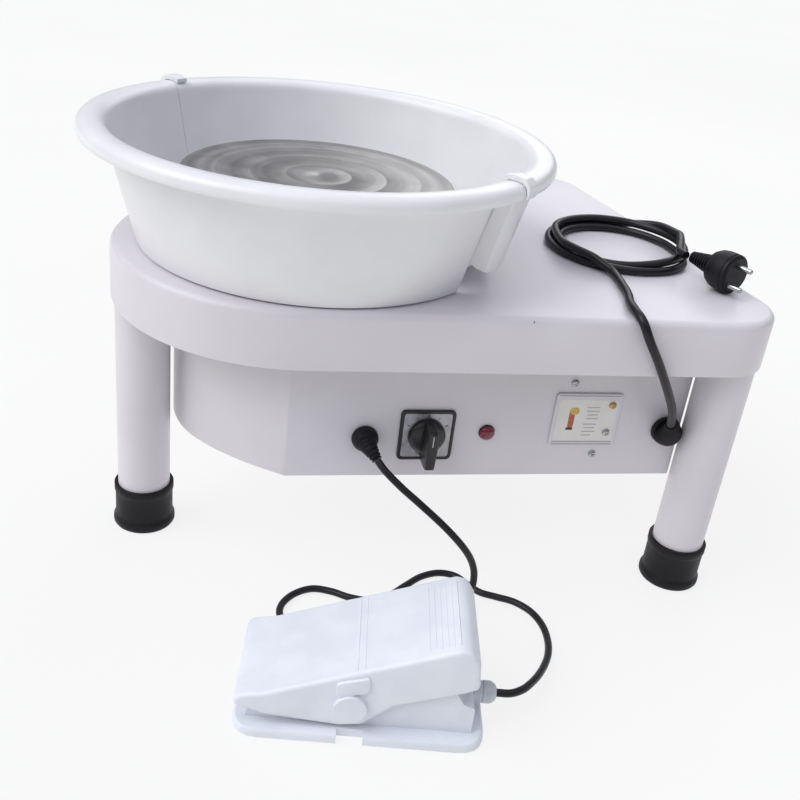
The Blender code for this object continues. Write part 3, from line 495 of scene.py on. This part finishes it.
plugForward = Vector((cos(plug["turn"]), sin(plug["turn"]), 0))
plugReach = (plug["tail"] + plug["body"][-1][1]) / 2  # from the body's shoulder back to the plug's middle
plugAt = middle("mains_plug") - plugForward * plugReach
plugShape = lay(turned(plugProfile(plug), 56), pi / 2, "Y")
plugBody = form("plug_body", plugShape, blackRubber, plugAt, plug["turn"])
settle(plugBody, "machine", "black_rubber", "mains_plug")
for number in (1, 2):
    pinAt = middle(f"mains_plug_pin_{number}")
    shape = lay(turned(plug["pin"], 24), pi / 2, "Y")
    pin = form(f"plug_pin_{number}", shape, zincSteel, pinAt, plug["turn"])
    settle(pin, "machine", "bright_steel", f"mains_plug_pin_{number}")
print("cords laid:", round(lineLength(mainsLine), 3), round(lineLength(pedalLine), 3))

# rubber strain reliefs: a round flange on the panel, a domed shoulder and a ribbed tail
reliefs = {
    "mains": {"points": [(0.3412, -0.1240, 0.1690), (0.3370, -0.1350, 0.1770), (0.3305, -0.1425, 0.1880)],
              "at": (0.3412, 0.1680), "flange": 0.0146, "tip": 0.0056},
    "pedal": {"points": [(0.0447, -0.1240, 0.1576), (0.0475, -0.1345, 0.1556), (0.0525, -0.1420, 0.1500)],
              "at": (0.0445, 0.1576), "flange": 0.0125, "tip": 0.0048},
}


def makeRelief(which, facts):
    x, z = facts["at"]
    wide = facts["flange"]
    face = panelY - gap
    line = smoothLine([(x, face - 0.0002, z), (x, face - 0.004, z), *facts["points"]], 0.0009)
    total = lineLength(line)
    shoulder = 0.34  # share of the length that is domed
    radii = []
    for i in range(len(line)):
        s = i / (len(line) - 1)
        if s < 0.08:
            r = wide
        elif s < shoulder:
            r = wide * (1 - 0.28 * ((s - 0.08) / (shoulder - 0.08)) ** 2)
        else:
            t = (s - shoulder) / (1 - shoulder)
            r = wide * 0.72 * (1 - t) + facts["tip"] * t
            r -= 0.0012 if (s * total / 0.0036) % 1 < 0.38 and t < 0.94 else 0.0
        radii.append(r)
    radii[0] = wide - 0.0008
    shank = lay(turned([(0.0, 0.0), (0.0085, 0.0), (0.0085, 0.012), (0.0, 0.012)], 32), -pi / 2, "X",
                (x, face, z))
    return form(f"{which}_relief", merge(sweptBar(line, radii, 40), shank), blackRubber, sharp=50)


for which, facts in reliefs.items():
    settle(makeRelief(which, facts), "machine", "black_rubber", f"{which}_boot")
print("strain reliefs fitted")

# table casing: pressed sheet with a rolled edge and a hem turned in under the apron
table = {
    "nose": Vector((-0.0201, -0.0034)), "noseRadius": 0.1651, "axis": radians(9.87), "reach": 0.4061,
    "cornerRadius": 0.0511, "edgeRadius": 0.0065, "sheet": 0.0022, "hem": 0.0070, "hole": 0.0125,
    "darkDot": (0.1663, 0.0030),  # a near-black dot on the apron: along the apron, and down from the top
}


def tableOutline(inset):
    along = Vector((cos(table["axis"]), sin(table["axis"])))
    across = Vector((-along.y, along.x))
    reach = table["reach"] - table["cornerRadius"]
    spread = (table["noseRadius"] - table["cornerRadius"] + reach * sin(table["axis"])) / cos(table["axis"])
    front = table["nose"] + reach * along - spread * across
    rear = table["nose"] + reach * along + spread * across
    corner = table["cornerRadius"] - inset
    back = pi / 2 + 2 * table["axis"]  # the way that the back edge faces
    return (arcPoints(front, corner, -pi / 2, table["axis"], 20)
            + arcPoints(rear, corner, table["axis"], back, 20)
            + arcPoints(table["nose"], table["noseRadius"] - inset, back, 1.5 * pi, 72))


def makeTable():
    edge, sheet, hem = table["edgeRadius"], table["sheet"], table["hem"]
    foot = apronLow - tableTop
    bend = [pi / 2 * k / 8 for k in range(9)]
    # steps inward and down: from the hem's lip round the outside to the top, then back down the inside
    outer = [(hem, foot + 0.0011), (hem, foot), (0.0011, foot), (0.0003, foot + 0.0006), (0.0, foot + 0.0014)]
    outer += [(edge * (1 - cos(a)), -edge * (1 - sin(a))) for a in bend]
    inner = [(sheet + (edge - sheet) * (1 - cos(a)), -sheet - (edge - sheet) * (1 - sin(a)))
             for a in bend[::2]][::-1] + [(sheet, foot + 0.0011)]
    bm = bmesh.new()
    loops = [[bm.verts.new(p) for p in level(tableOutline(i), tableTop + drop)] for i, drop in outer + inner]
    top, under = loops[len(outer) - 1], loops[len(outer)]
    for a, b in zip(loops, loops[1:] + loops[:1]):
        if a is top:
            continue  # the flat of the table is filled below, round its hole
        for i in range(len(a)):
            j = (i + 1) % len(a)
            bm.faces.new((a[i], a[j], b[j], b[i]))
    hole = ringPoints(table["hole"], 40)
    upper, lower = [[bm.verts.new((x, y, z)) for x, y in hole] for z in (tableTop, tableTop - sheet)]
    for i in range(len(hole)):
        j = (i + 1) % len(hole)
        bm.faces.new((upper[i], upper[j], lower[j], lower[i]))
    for pair in ((top, upper), (under, lower)):
        sides = [(loop[i - 1], loop[i]) for loop in pair for i in range(len(loop))]
        edges = [bm.edges.get(side) or bm.edges.new(side) for side in sides]
        bmesh.ops.triangle_fill(bm, edges=edges, use_beauty=True)
    return form("table_shell", bm, powderCoat, sharp=30)


settle(makeTable(), "machine", "painted_steel", "table_casing")
# a small near-black dome on the apron's face, darker than the paint around it
dotAlong, dotDrop = table["darkDot"]
dotAt = fromSpindle(dotAlong, tableOutline(0)[0][1] - 0.00005, tableTop - dotDrop)
dotShape = turned([(0.0, 0.0001), (0.0007, 0.0001), (0.0005, 0.0004), (0.0, 0.0005)], 9)
darkDot = form("apron_dark_dot", lay(dotShape, pi / 2, "X"), blackRubber, dotAt)
settle(darkDot, "machine", "painted_steel")
print("table pressed")

# lower case: one bent sheet; flat panel in front, a rounded nose, the same at the back
case = {
    "bottom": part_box("lower_case")[0].z, "right": 0.3586, "crease": -0.027, "sheet": 0.0022, "hem": 0.009,
    "nose": [(-0.061, -0.091), (-0.091, -0.064), (-0.113, -0.036), (-0.125, -0.006), (-0.128, 0.026),
             (-0.118, 0.060), (-0.096, 0.086)],
    # for the switch, the lamp and the two leads: place on the panel, radius
    "holes": [((0.1022, 0.1608), 0.0070), ((0.1606, 0.1634), 0.0050), ((0.3412, 0.1680), 0.0090),
              ((0.0445, 0.1576), 0.0090)],
}


def caseOutline(inset):
    along = Vector((cos(table["axis"]), sin(table["axis"])))

    def mirrored(x, y):
        away = Vector((x, y)) - table["nose"]
        return tuple(table["nose"] + 2 * away.dot(along) * along - away)

    front, crease = (case["right"], panelY), (case["crease"], panelY)
    bend = [crease] + case["nose"] + [mirrored(*crease)]
    flat = [Vector((x, y, 0)) for x, y in bend]
    nose = [(p.x, p.y) for p in smoothLine(flat, 0.006)]
    corners = [mirrored(*crease), mirrored(*front), front, crease]
    straight = filleted(corners, 0.004, 5, closed=False)
    outline = (nose[:-1] + straight[:-1])[::-1]  # anticlockwise
    moved = []
    for i, (x, y) in enumerate(outline):
        here = Vector((x, y))
        first = (here - Vector(outline[i - 1])).normalized()
        second = (Vector(outline[(i + 1) % len(outline)]) - here).normalized()
        inward = (Vector((-first.y, first.x)) + Vector((-second.y, second.x))).normalized()
        moved.append(tuple(here + inward * inset / max(inward.dot(Vector((-second.y, second.x))), 0.5)))
    return moved


def makeCase():
    low, high, sheet, hem = case["bottom"], underTable, case["sheet"], case["hem"]
    outer = [(hem, low + 0.0010), (hem, low), (0.0012, low), (0.0003, low + 0.0004), (0.0, low + 0.0013),
             (0.0, (low + high) / 2), (0.0, high)]
    inner = [(sheet, high), (sheet, low + 0.0010)]
    rings = [level(caseOutline(i), z) for i, z in outer + inner]
    piece = form("case_shell", loft(rings, around=True), powderCoat, sharp=24)
    for (x, z), radius in case["holes"]:
        tool = lay(prism(ringPoints(radius, 28), -0.02, 0.02), pi / 2, "X", (x, panelY, z))
        carve(piece, tool)
    return piece


settle(makeCase(), "machine", "painted_steel", "lower_case")
print("case bent")

# legs: painted tubes in rubber ferrules
leg = {
    "radius": 0.0254, "wall": 0.0018, "seat": 0.0063,
    "ferrule": [(0.0, 0.0), (0.0270, 0.0), (0.0292, 0.0008), (0.0304, 0.0028), (0.0305, 0.0052),
                (0.0303, 0.0078), (0.0294, 0.0098), (0.0286, 0.0112), (0.0283, 0.0130), (0.0282, 0.0250),
                (0.0283, 0.0375), (0.0286, 0.0388), (0.0292, 0.0398), (0.0292, 0.0460), (0.0287, 0.0468),
                (0.0278, 0.0470), (0.0257, 0.0470), (0.0257, 0.0060), (0.0, 0.0060)],
}
for which in ("nose", "front", "rear"):
    footAt = middle(f"foot_{which}")
    at = Vector((footAt.x, footAt.y, 0))
    outside, inside = leg["radius"], leg["radius"] - leg["wall"]
    tube = turned([(outside - 0.0004, leg["seat"]), (outside, leg["seat"] + 0.0005), (outside, 0.10),
                   (outside, 0.20), (outside, underTable), (inside, underTable), (inside, leg["seat"])], 64)
    settle(form(f"leg_tube_{which}", tube, powderCoat, at), "machine", "painted_steel", f"leg_{which}")
    ferrule = form(f"ferrule_{which}", turned(leg["ferrule"], 64), blackRubber, at, sharp=45)
    settle(ferrule, "machine", "black_rubber", f"foot_{which}")
print("legs stand")

# wheel head: a turned disc with a bevelled edge and shallow centring grooves
wheel = {"radius": 0.125, "grooves": (0.030, 0.062, 0.094), "grooveWidth": 0.0009, "grooveDepth": 0.00012}


def makeWheelHead():
    top, low = headHigh.z, headLow.z
    profile = [(0.0, low), (0.046, low), (0.050, low + 0.0005), (wheel["radius"] - 0.0035, low),
               (wheel["radius"] - 0.0004, low + 0.0018), (wheel["radius"], low + 0.0030),
               (wheel["radius"], top - 0.0020), (wheel["radius"] - 0.0006, top - 0.0007),
               (wheel["radius"] - 0.0020, top)]
    for groove in reversed(wheel["grooves"]):
        half = wheel["grooveWidth"] / 2
        profile += [(groove + half, top), (groove, top - wheel["grooveDepth"]), (groove - half, top)]
    profile += [(0.0022, top), (0.0008, top - 0.0008), (0.0, top - 0.0009)]
    return form("wheel_disc", turned(profile, 160), turnedAluminium, sharp=50)


settle(makeWheelHead(), "wheel", "wheel_aluminium", "wheel_head")
print("wheel head turned")

# splash basin: two moulded halves; the rear one has the joint ribs, the recess under them and the clips
basin = {
    "seam": radians(-47.0), "count": 90, "ribSpread": radians(9.5),
    "recess": 0.024, "recessFlat": radians(23), "recessEnd": radians(33),
}


# radius and height above the table; share 1 is fully recessed under the ledge, 0 is the plain wall
def basinSection(share):
    r = basin["recess"] * share
    wall = [(0.0290, 0.0003), (0.1592 - r, 0.0003), (0.1622 - r, 0.0018), (0.1630 - r, 0.0040),
            (0.1692 - r, 0.0262), (0.16935, 0.0267), (0.1780, 0.0584), (0.1873, 0.0926)]
    rim = [(0.1880, 0.0955), (0.1898, 0.0979), (0.1950, 0.1004), (0.2030, 0.1014), (0.2068, 0.1002),
           (0.2084, 0.0976), (0.2087, 0.0954), (0.2103, 0.0954), (0.2111, 0.0972), (0.2112, 0.0996),
           (0.2107, 0.1022), (0.2095, 0.1045), (0.2075, 0.1064), (0.2048, 0.1075), (0.2010, 0.1080),
           (0.1968, 0.1080), (0.1930, 0.1074), (0.1900, 0.1062), (0.1878, 0.1044), (0.1861, 0.1018),
           (0.1852, 0.0980)]
    lining = [(0.1760, 0.0620), (0.1671, 0.0298), (0.1669 - r, 0.0293), (0.1610 - r, 0.0080),
              (0.1597 - r, 0.0052), (0.1565 - r, 0.0034)]
    collar = [(0.0335, 0.0033), (0.0322, 0.0045), (0.0320, 0.0292), (0.0313, 0.0300), (0.0297, 0.0300),
              (0.0290, 0.0292)]
    return [(radius, tableTop + z) for radius, z in wall + rim + lining + collar]


def makeBasinHalf(name, start, recessed):
    rings = []
    for i in range(basin["count"] + 1):
        away = pi * i / basin["count"]
        share = 0.0
        if recessed:
            t = (basin["recessEnd"] - away) / (basin["recessEnd"] - basin["recessFlat"])
            t = min(1.0, max(0.0, t))
            share = t * t * (3 - 2 * t)
        a = start + away
        rings.append([(r * cos(a), r * sin(a), z) for r, z in basinSection(share)])
    return form(name, loft(rings), basinPlastic, sharp=42)


def makeRib(start):  # the hollow-looking gusset that hangs from the rim beside a seam
    rings = []
    for k in range(9):
        share = k / 8
        a = start + basin["ribSpread"] * share
        swell = sin(pi * share) ** 0.7
        wide, lift = 0.0035 * swell, 0.0014 * (1 - swell)
        section = [(0.1690, 0.0300), (0.1760, 0.0258 + lift), (0.1855 + wide * 0.8, 0.0247 + lift),
                   (0.1870 + wide, 0.0290 + lift), (0.1925 + wide * 0.9, 0.0540),
                   (0.1985 + wide * 0.7, 0.0770), (0.2040 + wide * 0.3, 0.0968), (0.2040, 0.1030),
                   (0.1908, 0.1030)]
        rings.append([(r * cos(a), r * sin(a), tableTop + z) for r, z in section])
    return loft(rings)


def makeClip(name, seam, way):
    section = filleted([(0.1887, 0.1070), (0.1940, 0.1083), (0.2005, 0.1086), (0.2064, 0.1079),
                        (0.2104, 0.1051), (0.2119, 0.1010), (0.2119, 0.0962), (0.2135, 0.0962),
                        (0.2137, 0.1060), (0.2084, 0.1118), (0.1980, 0.1133), (0.1887, 0.1113)], 0.0012, 3)
    rings = []
    for share in (0.0, 0.06, 0.25, 0.5, 0.75, 0.94, 1.0):
        a = seam + way * radians(0.6 + 3.4 * share)
        pinch = 0.0004 if share in (0.0, 1.0) else 0.0
        rings.append([(r * cos(a), r * sin(a), tableTop + z - pinch * (z > 0.1110)) for r, z in section])
    return form(name, loft(rings), basinPlastic, sharp=40)


backWay = Vector((cos(basin["seam"] + pi / 2), sin(basin["seam"] + pi / 2), 0)) * gap
backHalf = makeBasinHalf("basin_rear_half", basin["seam"], True)
backHalf.location = spindle + backWay
settle(backHalf, "basin_back_half", "basin_plastic", "basin_back")
frontHalf = makeBasinHalf("basin_fore_half", basin["seam"] + pi, False)
frontHalf.location = spindle - backWay
settle(frontHalf, "basin_front_half", "basin_plastic", "basin_front")
for name, start in (("fore", basin["seam"] + radians(0.15)), ("rear", basin["seam"] + pi - radians(9.65))):
    rib = form(f"basin_rib_{name}", makeRib(start), basinPlastic, spindle + backWay, sharp=36, bevel=0.0012)
    settle(rib, "basin_back_half", "basin_plastic")
for name, node, seam, way in (("fore", "basin_clip_front", basin["seam"], 1),
                              ("rear", "basin_clip_rear", basin["seam"] + pi, -1)):
    clip = makeClip(f"rim_clip_{name}", seam, way)
    clip.location = spindle + backWay
    settle(clip, "basin_back_half", "basin_plastic", node)
print("basin moulded")


def facing(bm, x, z):  # the panel's fittings are drawn along +Z and turned to face out of it
    return lay(bm, pi / 2, "X", (x, panelY, z))


switch = {
    "at": (0.1022, 0.1608), "side": 0.052, "border": 0.0030, "corner": 0.004, "face": 0.0026,
    "skirt": [(0.0, 0.0038), (0.0170, 0.0038), (0.0175, 0.0043), (0.0175, 0.0060), (0.0168, 0.0072),
              (0.0150, 0.0084), (0.0128, 0.0094), (0.0, 0.0096)],
    "grip": [(-0.0048, -0.0234), (0.0048, -0.0234), (0.0060, -0.0020), (0.0046, 0.0170), (-0.0046, 0.0170),
             (-0.0060, -0.0020)],
    "ticks": (-60, -30, 0, 30, 60),
}


def makeSwitch():
    x, z = switch["at"]
    side, border = switch["side"], switch["border"]
    outline = roundedBox(side, side, switch["corner"])
    window = roundedBox(side - 2 * border, side - 2 * border, switch["corner"] - 0.0015)
    rings = [level(outline, gap), level(outline, 0.0026), level(scaled(outline, 0.985), 0.0032),
             level(scaled(window, 1.02), 0.0032), level(window, 0.0027), level(window, gap)]
    frameRing = form("switch_border", facing(loft(rings, around=True), x, z), blackAbs, sharp=30)
    settle(frameRing, "machine", "black_plastic", "switch_plate")
    within = side - 2 * border - 0.0004
    dial = prism(roundedBox(within, within, switch["corner"] - 0.0017), 0.0006, switch["face"])
    face = form("switch_dial", facing(dial, x, z), brushedSteel)
    carve(face, facing(prism(ringPoints(0.0070, 28), -0.02, 0.02), x, z))
    settle(face, "machine", "switch_face")
    marks = []
    for degrees in switch["ticks"]:
        a = radians(90 - degrees)
        long = 0.0032 if degrees % 60 == 0 else 0.0018
        bar = prism(roundedBox(long, 0.0009, 0.0003), switch["face"], switch["face"] + 0.00008)
        lay(bar, a, "Z", (0.0208 * cos(a), 0.0208 * sin(a), 0))
        marks.append(bar)
    ticks = form("switch_ticks", facing(merge(*marks), x, z), inkBlack)
    settle(ticks, "machine", "black_plastic")


def makeKnob():
    x, z = switch["at"]
    outline = filleted(switch["grip"], 0.0022, 4)
    shrink = [(0.0, 1.0), (0.0180, 1.0), (0.0205, 0.97), (0.0220, 0.90), (0.0228, 0.78), (0.0229, 0.60)]
    rings = [level([(a * s, b * (0.5 + s / 2)) for a, b in outline], 0.0060 + h) for h, s in shrink]
    knob = form("knob", facing(merge(turned(switch["skirt"], 56), loft(rings)), x, z), blackAbs, sharp=34)
    settle(knob, "switch_handle", "black_plastic", "switch_knob")
    line = prism(roundedBox(0.0010, 0.0110, 0.0004), 0.02885, 0.02898)
    bmesh.ops.translate(line, verts=line.verts, vec=(0, 0.0080, 0))
    settle(form("knob_line", facing(line, x, z), inkGrey), "switch_handle", "black_plastic")


makeSwitch()
makeKnob()

lamp = {"at": (0.1606, 0.1634),
        "bezel": [(0.0079, 0.0003), (0.0079, 0.0009), (0.0075, 0.0013), (0.0050, 0.0014), (0.0050, 0.0003)],
        "lens": [(0.0, -0.018), (0.0046, -0.018), (0.0046, 0.0018), (0.0071, 0.0018), (0.0071, 0.0031),
                 (0.0066, 0.0041), (0.0054, 0.0051), (0.0037, 0.0058), (0.0018, 0.0063), (0.0, 0.0064)]}
lampRing = form("lamp_ring", facing(turned(lamp["bezel"], 48), *lamp["at"]), blackAbs)
settle(lampRing, "machine", "black_plastic", "lamp_bezel")
lampDome = form("lamp_dome", facing(turned(lamp["lens"], 48), *lamp["at"]), redAcrylic, sharp=50)
settle(lampDome, "machine", "red_lens", "lamp_lens")

# blank rating plate: a thin film on a formed tray, with a coloured mark, plain grey bars for print and grey
# lines along its top and bottom folds that are painted shadow
plate = {
    "at": (0.2565, 0.1778), "size": (0.067, 0.057), "film": 0.0022, "ink": 0.00232,
    # each row is a bar's middle, its width
    "bars": [(0.0055, 0.0140, 0.013), (0.0055, 0.0100, 0.013), (0.0055, 0.0060, 0.011),
             (0.0055, 0.0020, 0.012), (0.0045, -0.0040, 0.014), (0.0045, -0.0080, 0.012),
             (0.0045, -0.0120, 0.014), (0.0030, -0.0160, 0.010)],
    # heights of the painted shadow lines along the tray's folds
    "fold_shadows": (0.0262, -0.0235, -0.0262),
}


def flatBar(x, y, wide, tall, corner, low, high):  # a rounded bar lying on the plate
    return prism([(x + u, y + v) for u, v in roundedBox(wide, tall, corner)], low, high)


def makeRatingPlate():
    wide, tall = plate["size"]
    film, ink = plate["film"], plate["ink"]
    outline = roundedBox(wide, tall, 0.003)
    rings = [level(outline, gap), level(outline, 0.0016), level(scaled(outline, 0.985), film)]
    tray = form("rating_tray", facing(loft(rings), *plate["at"]), powderCoat, sharp=30)
    settle(tray, "machine", "label_plate", "rating_plate")
    over = ink + 0.00006  # what is printed on the red mark
    bars = [flatBar(x, y, long, 0.0011, 0.0004, ink, ink + 0.00005) for x, y, long in plate["bars"]]
    layers = {
        "film": (labelFilm, [flatBar(0, 0, wide - 0.008, tall - 0.013, 0.002, film, ink)]),
        "bars": (inkGrey, bars),
        "mark_red": (inkRed, [flatBar(-0.0150, 0.0020, 0.0058, 0.0200, 0.0026, ink, over)]),
        "mark_yellow": (inkYellow, [flatBar(-0.0130, 0.0100, 0.0090, 0.0075, 0.0030, over, over + 0.00005)]),
        "mark_black": (inkBlack, [flatBar(-0.0155, -0.0090, 0.0070, 0.0026, 0.0010, over, over + 0.00005)]),
        # painted shadow: grey ink lines along the tray's folds stand for the shade at its top and bottom
        # edges
        "fold_shadows": (inkGrey, [flatBar(0, y, wide - 0.006, 0.0007, 0.0003, film, 0.0026)
                            for y in plate["fold_shadows"]]),
    }
    for name, (material, shapes) in layers.items():
        layer = form(f"rating_{name}", facing(merge(*shapes), *plate["at"]), material)
        settle(layer, "machine", "label_plate")


makeRatingPlate()

screw = {"head": [(0.0, 0.0003), (0.0033, 0.0003), (0.0036, 0.0006), (0.0035, 0.0012), (0.0028, 0.0019),
                  (0.0016, 0.0023), (0.0, 0.0024)],
         "slot": (0.0042, 0.0008), "brass": 2, "turnEach": radians(20)}


def makeScrew(number):
    low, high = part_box(f"panel_screw_{number}")
    at = Vector(((low.x + high.x) / 2, high.y + gap, (low.z + high.z) / 2))
    metal = dullBrass if number == screw["brass"] else zincSteel
    head = form(f"screw_head_{number}", lay(turned(screw["head"], 36), pi / 2, "X"), metal, at, sharp=45)
    angle = screw["turnEach"] * number
    for turn in (angle, angle + pi / 2):
        slot = prism(roundedBox(*screw["slot"], 0.0002), 0.0013, 0.0040)
        carve(head, lay(lay(slot, turn, "Z"), pi / 2, "X"))
    settle(head, "machine", "bright_steel", f"panel_screw_{number}")


for number in range(1, 5):
    makeScrew(number)
print("panel fitted")

# foot pedal, in its own axes: along (s), towards the machine (t), up (z)
pedal = {
    "turn": radians(-10.5), "foot": (0.205, 0.112), "footMiddle": (0.0845, 0.056), "pivot": (0.0760, 0.0350),
    "socket": 0.0130, "gripRibs": [0.1320 + 0.0046 * k for k in range(6)],
    "upper": [(-0.008, 0.006), (0.176, 0.006), (0.176, 0.036), (0.1665, 0.0385), (0.158, 0.053),
              (0.060, 0.030), (-0.006, 0.0205)],
    "under": [(0.004, -0.010), (0.168, -0.010), (0.168, 0.030), (0.150, 0.044), (0.060, 0.025),
              (0.004, 0.016)],
    "tread": [(-0.0165, 0.0260), (0.0080, 0.0180), (0.0680, 0.0125), (0.0860, 0.0150), (0.1100, 0.0370),
              (0.1640, 0.0560), (0.1760, 0.0620), (0.1730, 0.0870), (0.1660, 0.0980), (0.1570, 0.1000),
              (0.0060, 0.0400), (-0.0110, 0.0370), (-0.0170, 0.0330)],
    "hollow": [(-0.0135, -0.0100), (0.1715, -0.0100), (0.1722, 0.0630), (0.1700, 0.0855), (0.1640, 0.0945),
               (0.1575, 0.0968), (0.0065, 0.0368), (-0.0100, 0.0335), (-0.0135, 0.0310)],
}
pedalAt = fromSpindle(-0.0639, -0.3193)


def slab(outline, near, far):  # an outline in the pedal's side view, between two depths
    return loft([[(s, near, z) for s, z in outline], [(s, far, z) for s, z in outline]])


def makePedalBase():
    s, t = pedal["footMiddle"]
    foot = roundedBox(*pedal["foot"], 0.017)
    rings = [[(s + x, t + y, z) for x, y in scaled(foot, k)]
             for z, k in ((0.0015, 0.992), (0.0022, 1.0), (0.0068, 1.0), (0.0084, 0.994), (0.0095, 0.980))]
    base = form("pedal_foot", loft(rings), pedalPlastic, pedalAt, pedal["turn"], sharp=40)
    carve(base, slab(filleted(pedal["upper"], 0.003, 3), 0.0150, 0.0970), "UNION")
    notch = prism([(0.0669, -0.021), (0.0884, -0.021), (0.0884, 0.009), (0.0669, 0.009)], -0.010, 0.030)
    carve(base, notch)
    carve(base, slab(pedal["under"], 0.0190, 0.0930))
    return base


def makeTread():
    tread = form("pedal_cover", slab(pedal["tread"], 0.0080, 0.1040), pedalPlastic, pedalAt, pedal["turn"],
                 sharp=35, bevel=0.0045)
    tread.modifiers["soft edges"].segments = 5
    for near, far in ((0.0030, 0.0095), (0.1025, 0.1090)):
        carve(tread, slab(ringPoints(pedal["socket"], 48, pedal["pivot"]), near, far), "UNION")
    carve(tread, slab(pedal["hollow"], 0.0110, 0.1010))
    return tread


def onTop(s, up=0.0):  # a point of the tread's sloping top
    (s0, z0), (s1, z1) = pedal["tread"][10], pedal["tread"][9]
    share = (s - s0) / (s1 - s0)
    along = Vector((s1 - s0, z1 - z0)).normalized()
    return Vector((s, z0 + (z1 - z0) * share)) + Vector((-along.y, along.x)) * up


def strip(s, wide, near, far, high):  # a low rib across the top
    corners = [(s, -0.0008), (s + wide, -0.0008), (s + wide * 0.85, high), (s + wide * 0.15, high)]
    return slab([tuple(onTop(*corner)) for corner in corners], near, far)


settle(makePedalBase(), "machine", "pedal_plastic", "pedal_base")
settle(makeTread(), "pedal_tread", "pedal_plastic", "pedal_treadle")
ribs = [strip(0.0765, 0.0030, 0.0125, 0.0995, 0.0005), strip(0.0835, 0.0012, 0.0125, 0.0995, 0.0004)]
ribs += [strip(s, 0.0016, 0.0165, 0.0955, 0.0004) for s in pedal["gripRibs"]]
# the raised pad over the pivot, skewed along the tread's slope
padOutline = roundedBox(0.0260, 0.0150, 0.003)
pad = loft([[(0.0765 + u * k, 0.0095 - h, 0.0555 + v * k + u * 0.30) for u, v in padOutline]
            for h, k in ((0.0, 1.0), (0.0030, 1.0), (0.0038, 0.97), (0.0041, 0.90))])
for name, shape in (("tread_ribs", merge(*ribs)), ("tread_pad", pad)):
    piece = form(name, shape, pedalPlastic, pedalAt, pedal["turn"], sharp=30)
    settle(piece, "pedal_tread", "pedal_plastic")

gland = {"at": (0.176, 0.045, 0.0270), "across": 0.0190,
         "cap": [(0.0, 0.0072), (0.0092, 0.0072), (0.0092, 0.0080), (0.0086, 0.0083), (0.0086, 0.0088),
                 (0.0094, 0.0092), (0.0094, 0.0148), (0.0088, 0.0166), (0.0076, 0.0186), (0.0060, 0.0200),
                 (0.0048, 0.0205), (0.0, 0.0205)]}


def makeGland():
    hexagon = filleted(ringPoints(gland["across"] / sqrt(3), 6), 0.0008, 2)
    nut = loft([level(hexagon, gap), level(hexagon, 0.0066), level(scaled(hexagon, 0.95), 0.0074)])
    shape = lay(merge(nut, turned(gland["cap"], 48)), pi / 2, "Y")
    at = pedalAt + Matrix.Rotation(pedal["turn"], 3, "Z") @ Vector(gland["at"])
    return form("gland_nut", shape, greyNylon, at, pedal["turn"], sharp=30)


settle(makeGland(), "machine", "grey_nylon", "pedal_gland")
print("pedal assembled")

# CAD pieces that stay as they are, with their real finishes
inside = {
    "bottom_plate": powderCoat, "bearing_housing": castEnamel, "upper_bearing": zincSteel,
    "lower_bearing": zincSteel, "spindle": zincSteel, "driven_pulley": turnedAluminium,
    "drive_belt": blackRubber, "motor": castEnamel, "motor_bracket": zincSteel, "motor_shaft": zincSteel,
    "motor_pulley": turnedAluminium, "control_board": solderMask, "heat_sink": turnedAluminium,
    "wheel_hub": castEnamel, "switch_body": blackAbs, "switch_shaft": zincSteel, "pedal_pin": zincSteel,
    "pedal_sensor": blackAbs, "pedal_pad_1": blackRubber, "pedal_pad_2": blackRubber,
    "pedal_pad_3": blackRubber, "pedal_pad_4": blackRubber,
}
for name, material in inside.items():
    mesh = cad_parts[name].data
    mesh.materials.clear()
    mesh.materials.append(material)
print("inner pieces finished")

# studio: a light table, a broad lamp on the left, a soft one behind and a sky that is dark low down
studio = {"glow": 0.81, "skyLow": "#464748", "skyTop": "#F4F6FF", "skyStrength": 1.0,
          "sun": 1.75, "sunSpread": 50, "sunFrom": (-0.55, -0.12, 0.95),
          "backPower": 9, "backSize": 1.6, "backFrom": (1.1, 1.9, 1.5)}
# light table: frosted white acrylic lit from below, so that it stays white under the table too
lightTable = makeFinish("frosted white acrylic", {
    "shader": {"IOR": 1.49, "Specular IOR Level": 0.05, "Emission Color": linear("#FFFFFF"),
               "Emission Strength": studio["glow"]},
    "colours": ("#626262", "#666666"), "patchMm": 900, "gloss": (0.85, 0.9), "grainMm": 40, "relief": 0.0})
floorShape = bmesh.new()
bmesh.ops.create_grid(floorShape, x_segments=2, y_segments=2, size=14)
floor = form("floor", floorShape, lightTable, Vector((0, 0, 0)))


def addLight(name, kind, energy, place, settings):
    data = bpy.data.lights.new(name, kind)
    data.energy = energy
    for key, value in settings.items():
        setattr(data, key, value)
    made = bpy.data.objects.new(name, data)
    scene.collection.objects.link(made)
    made.location = fromSpindle(*place)
    aim = fromSpindle(0.1, 0.0, 0.25) - made.location
    made.rotation_euler = aim.to_track_quat("-Z", "Y").to_euler()


addLight("window", "SUN", studio["sun"], studio["sunFrom"], {"angle": radians(studio["sunSpread"])})
addLight("back", "AREA", studio["backPower"], studio["backFrom"],
         {"shape": "DISK", "size": studio["backSize"]})
world = bpy.data.worlds.new("studio")
world.use_nodes = True
sky = world.node_tree.nodes["Background"]
direction = addNode(world.node_tree, "TexCoord", {}, {}).outputs["Generated"]
height = addNode(world.node_tree, "SeparateXYZ", {}, {0: direction}).outputs["Z"]
blend = addNode(world.node_tree, "ValToRGB", {}, {"Fac": height})
for element, colour in zip(blend.color_ramp.elements, (studio["skyLow"], studio["skyTop"])):
    element.color = linear(colour)
world.node_tree.links.new(blend.outputs["Color"], sky.inputs["Color"])
sky.inputs["Strength"].default_value = studio["skyStrength"]
scene.world = world
scene.view_settings.view_transform = "Standard"
print("light and floor set")
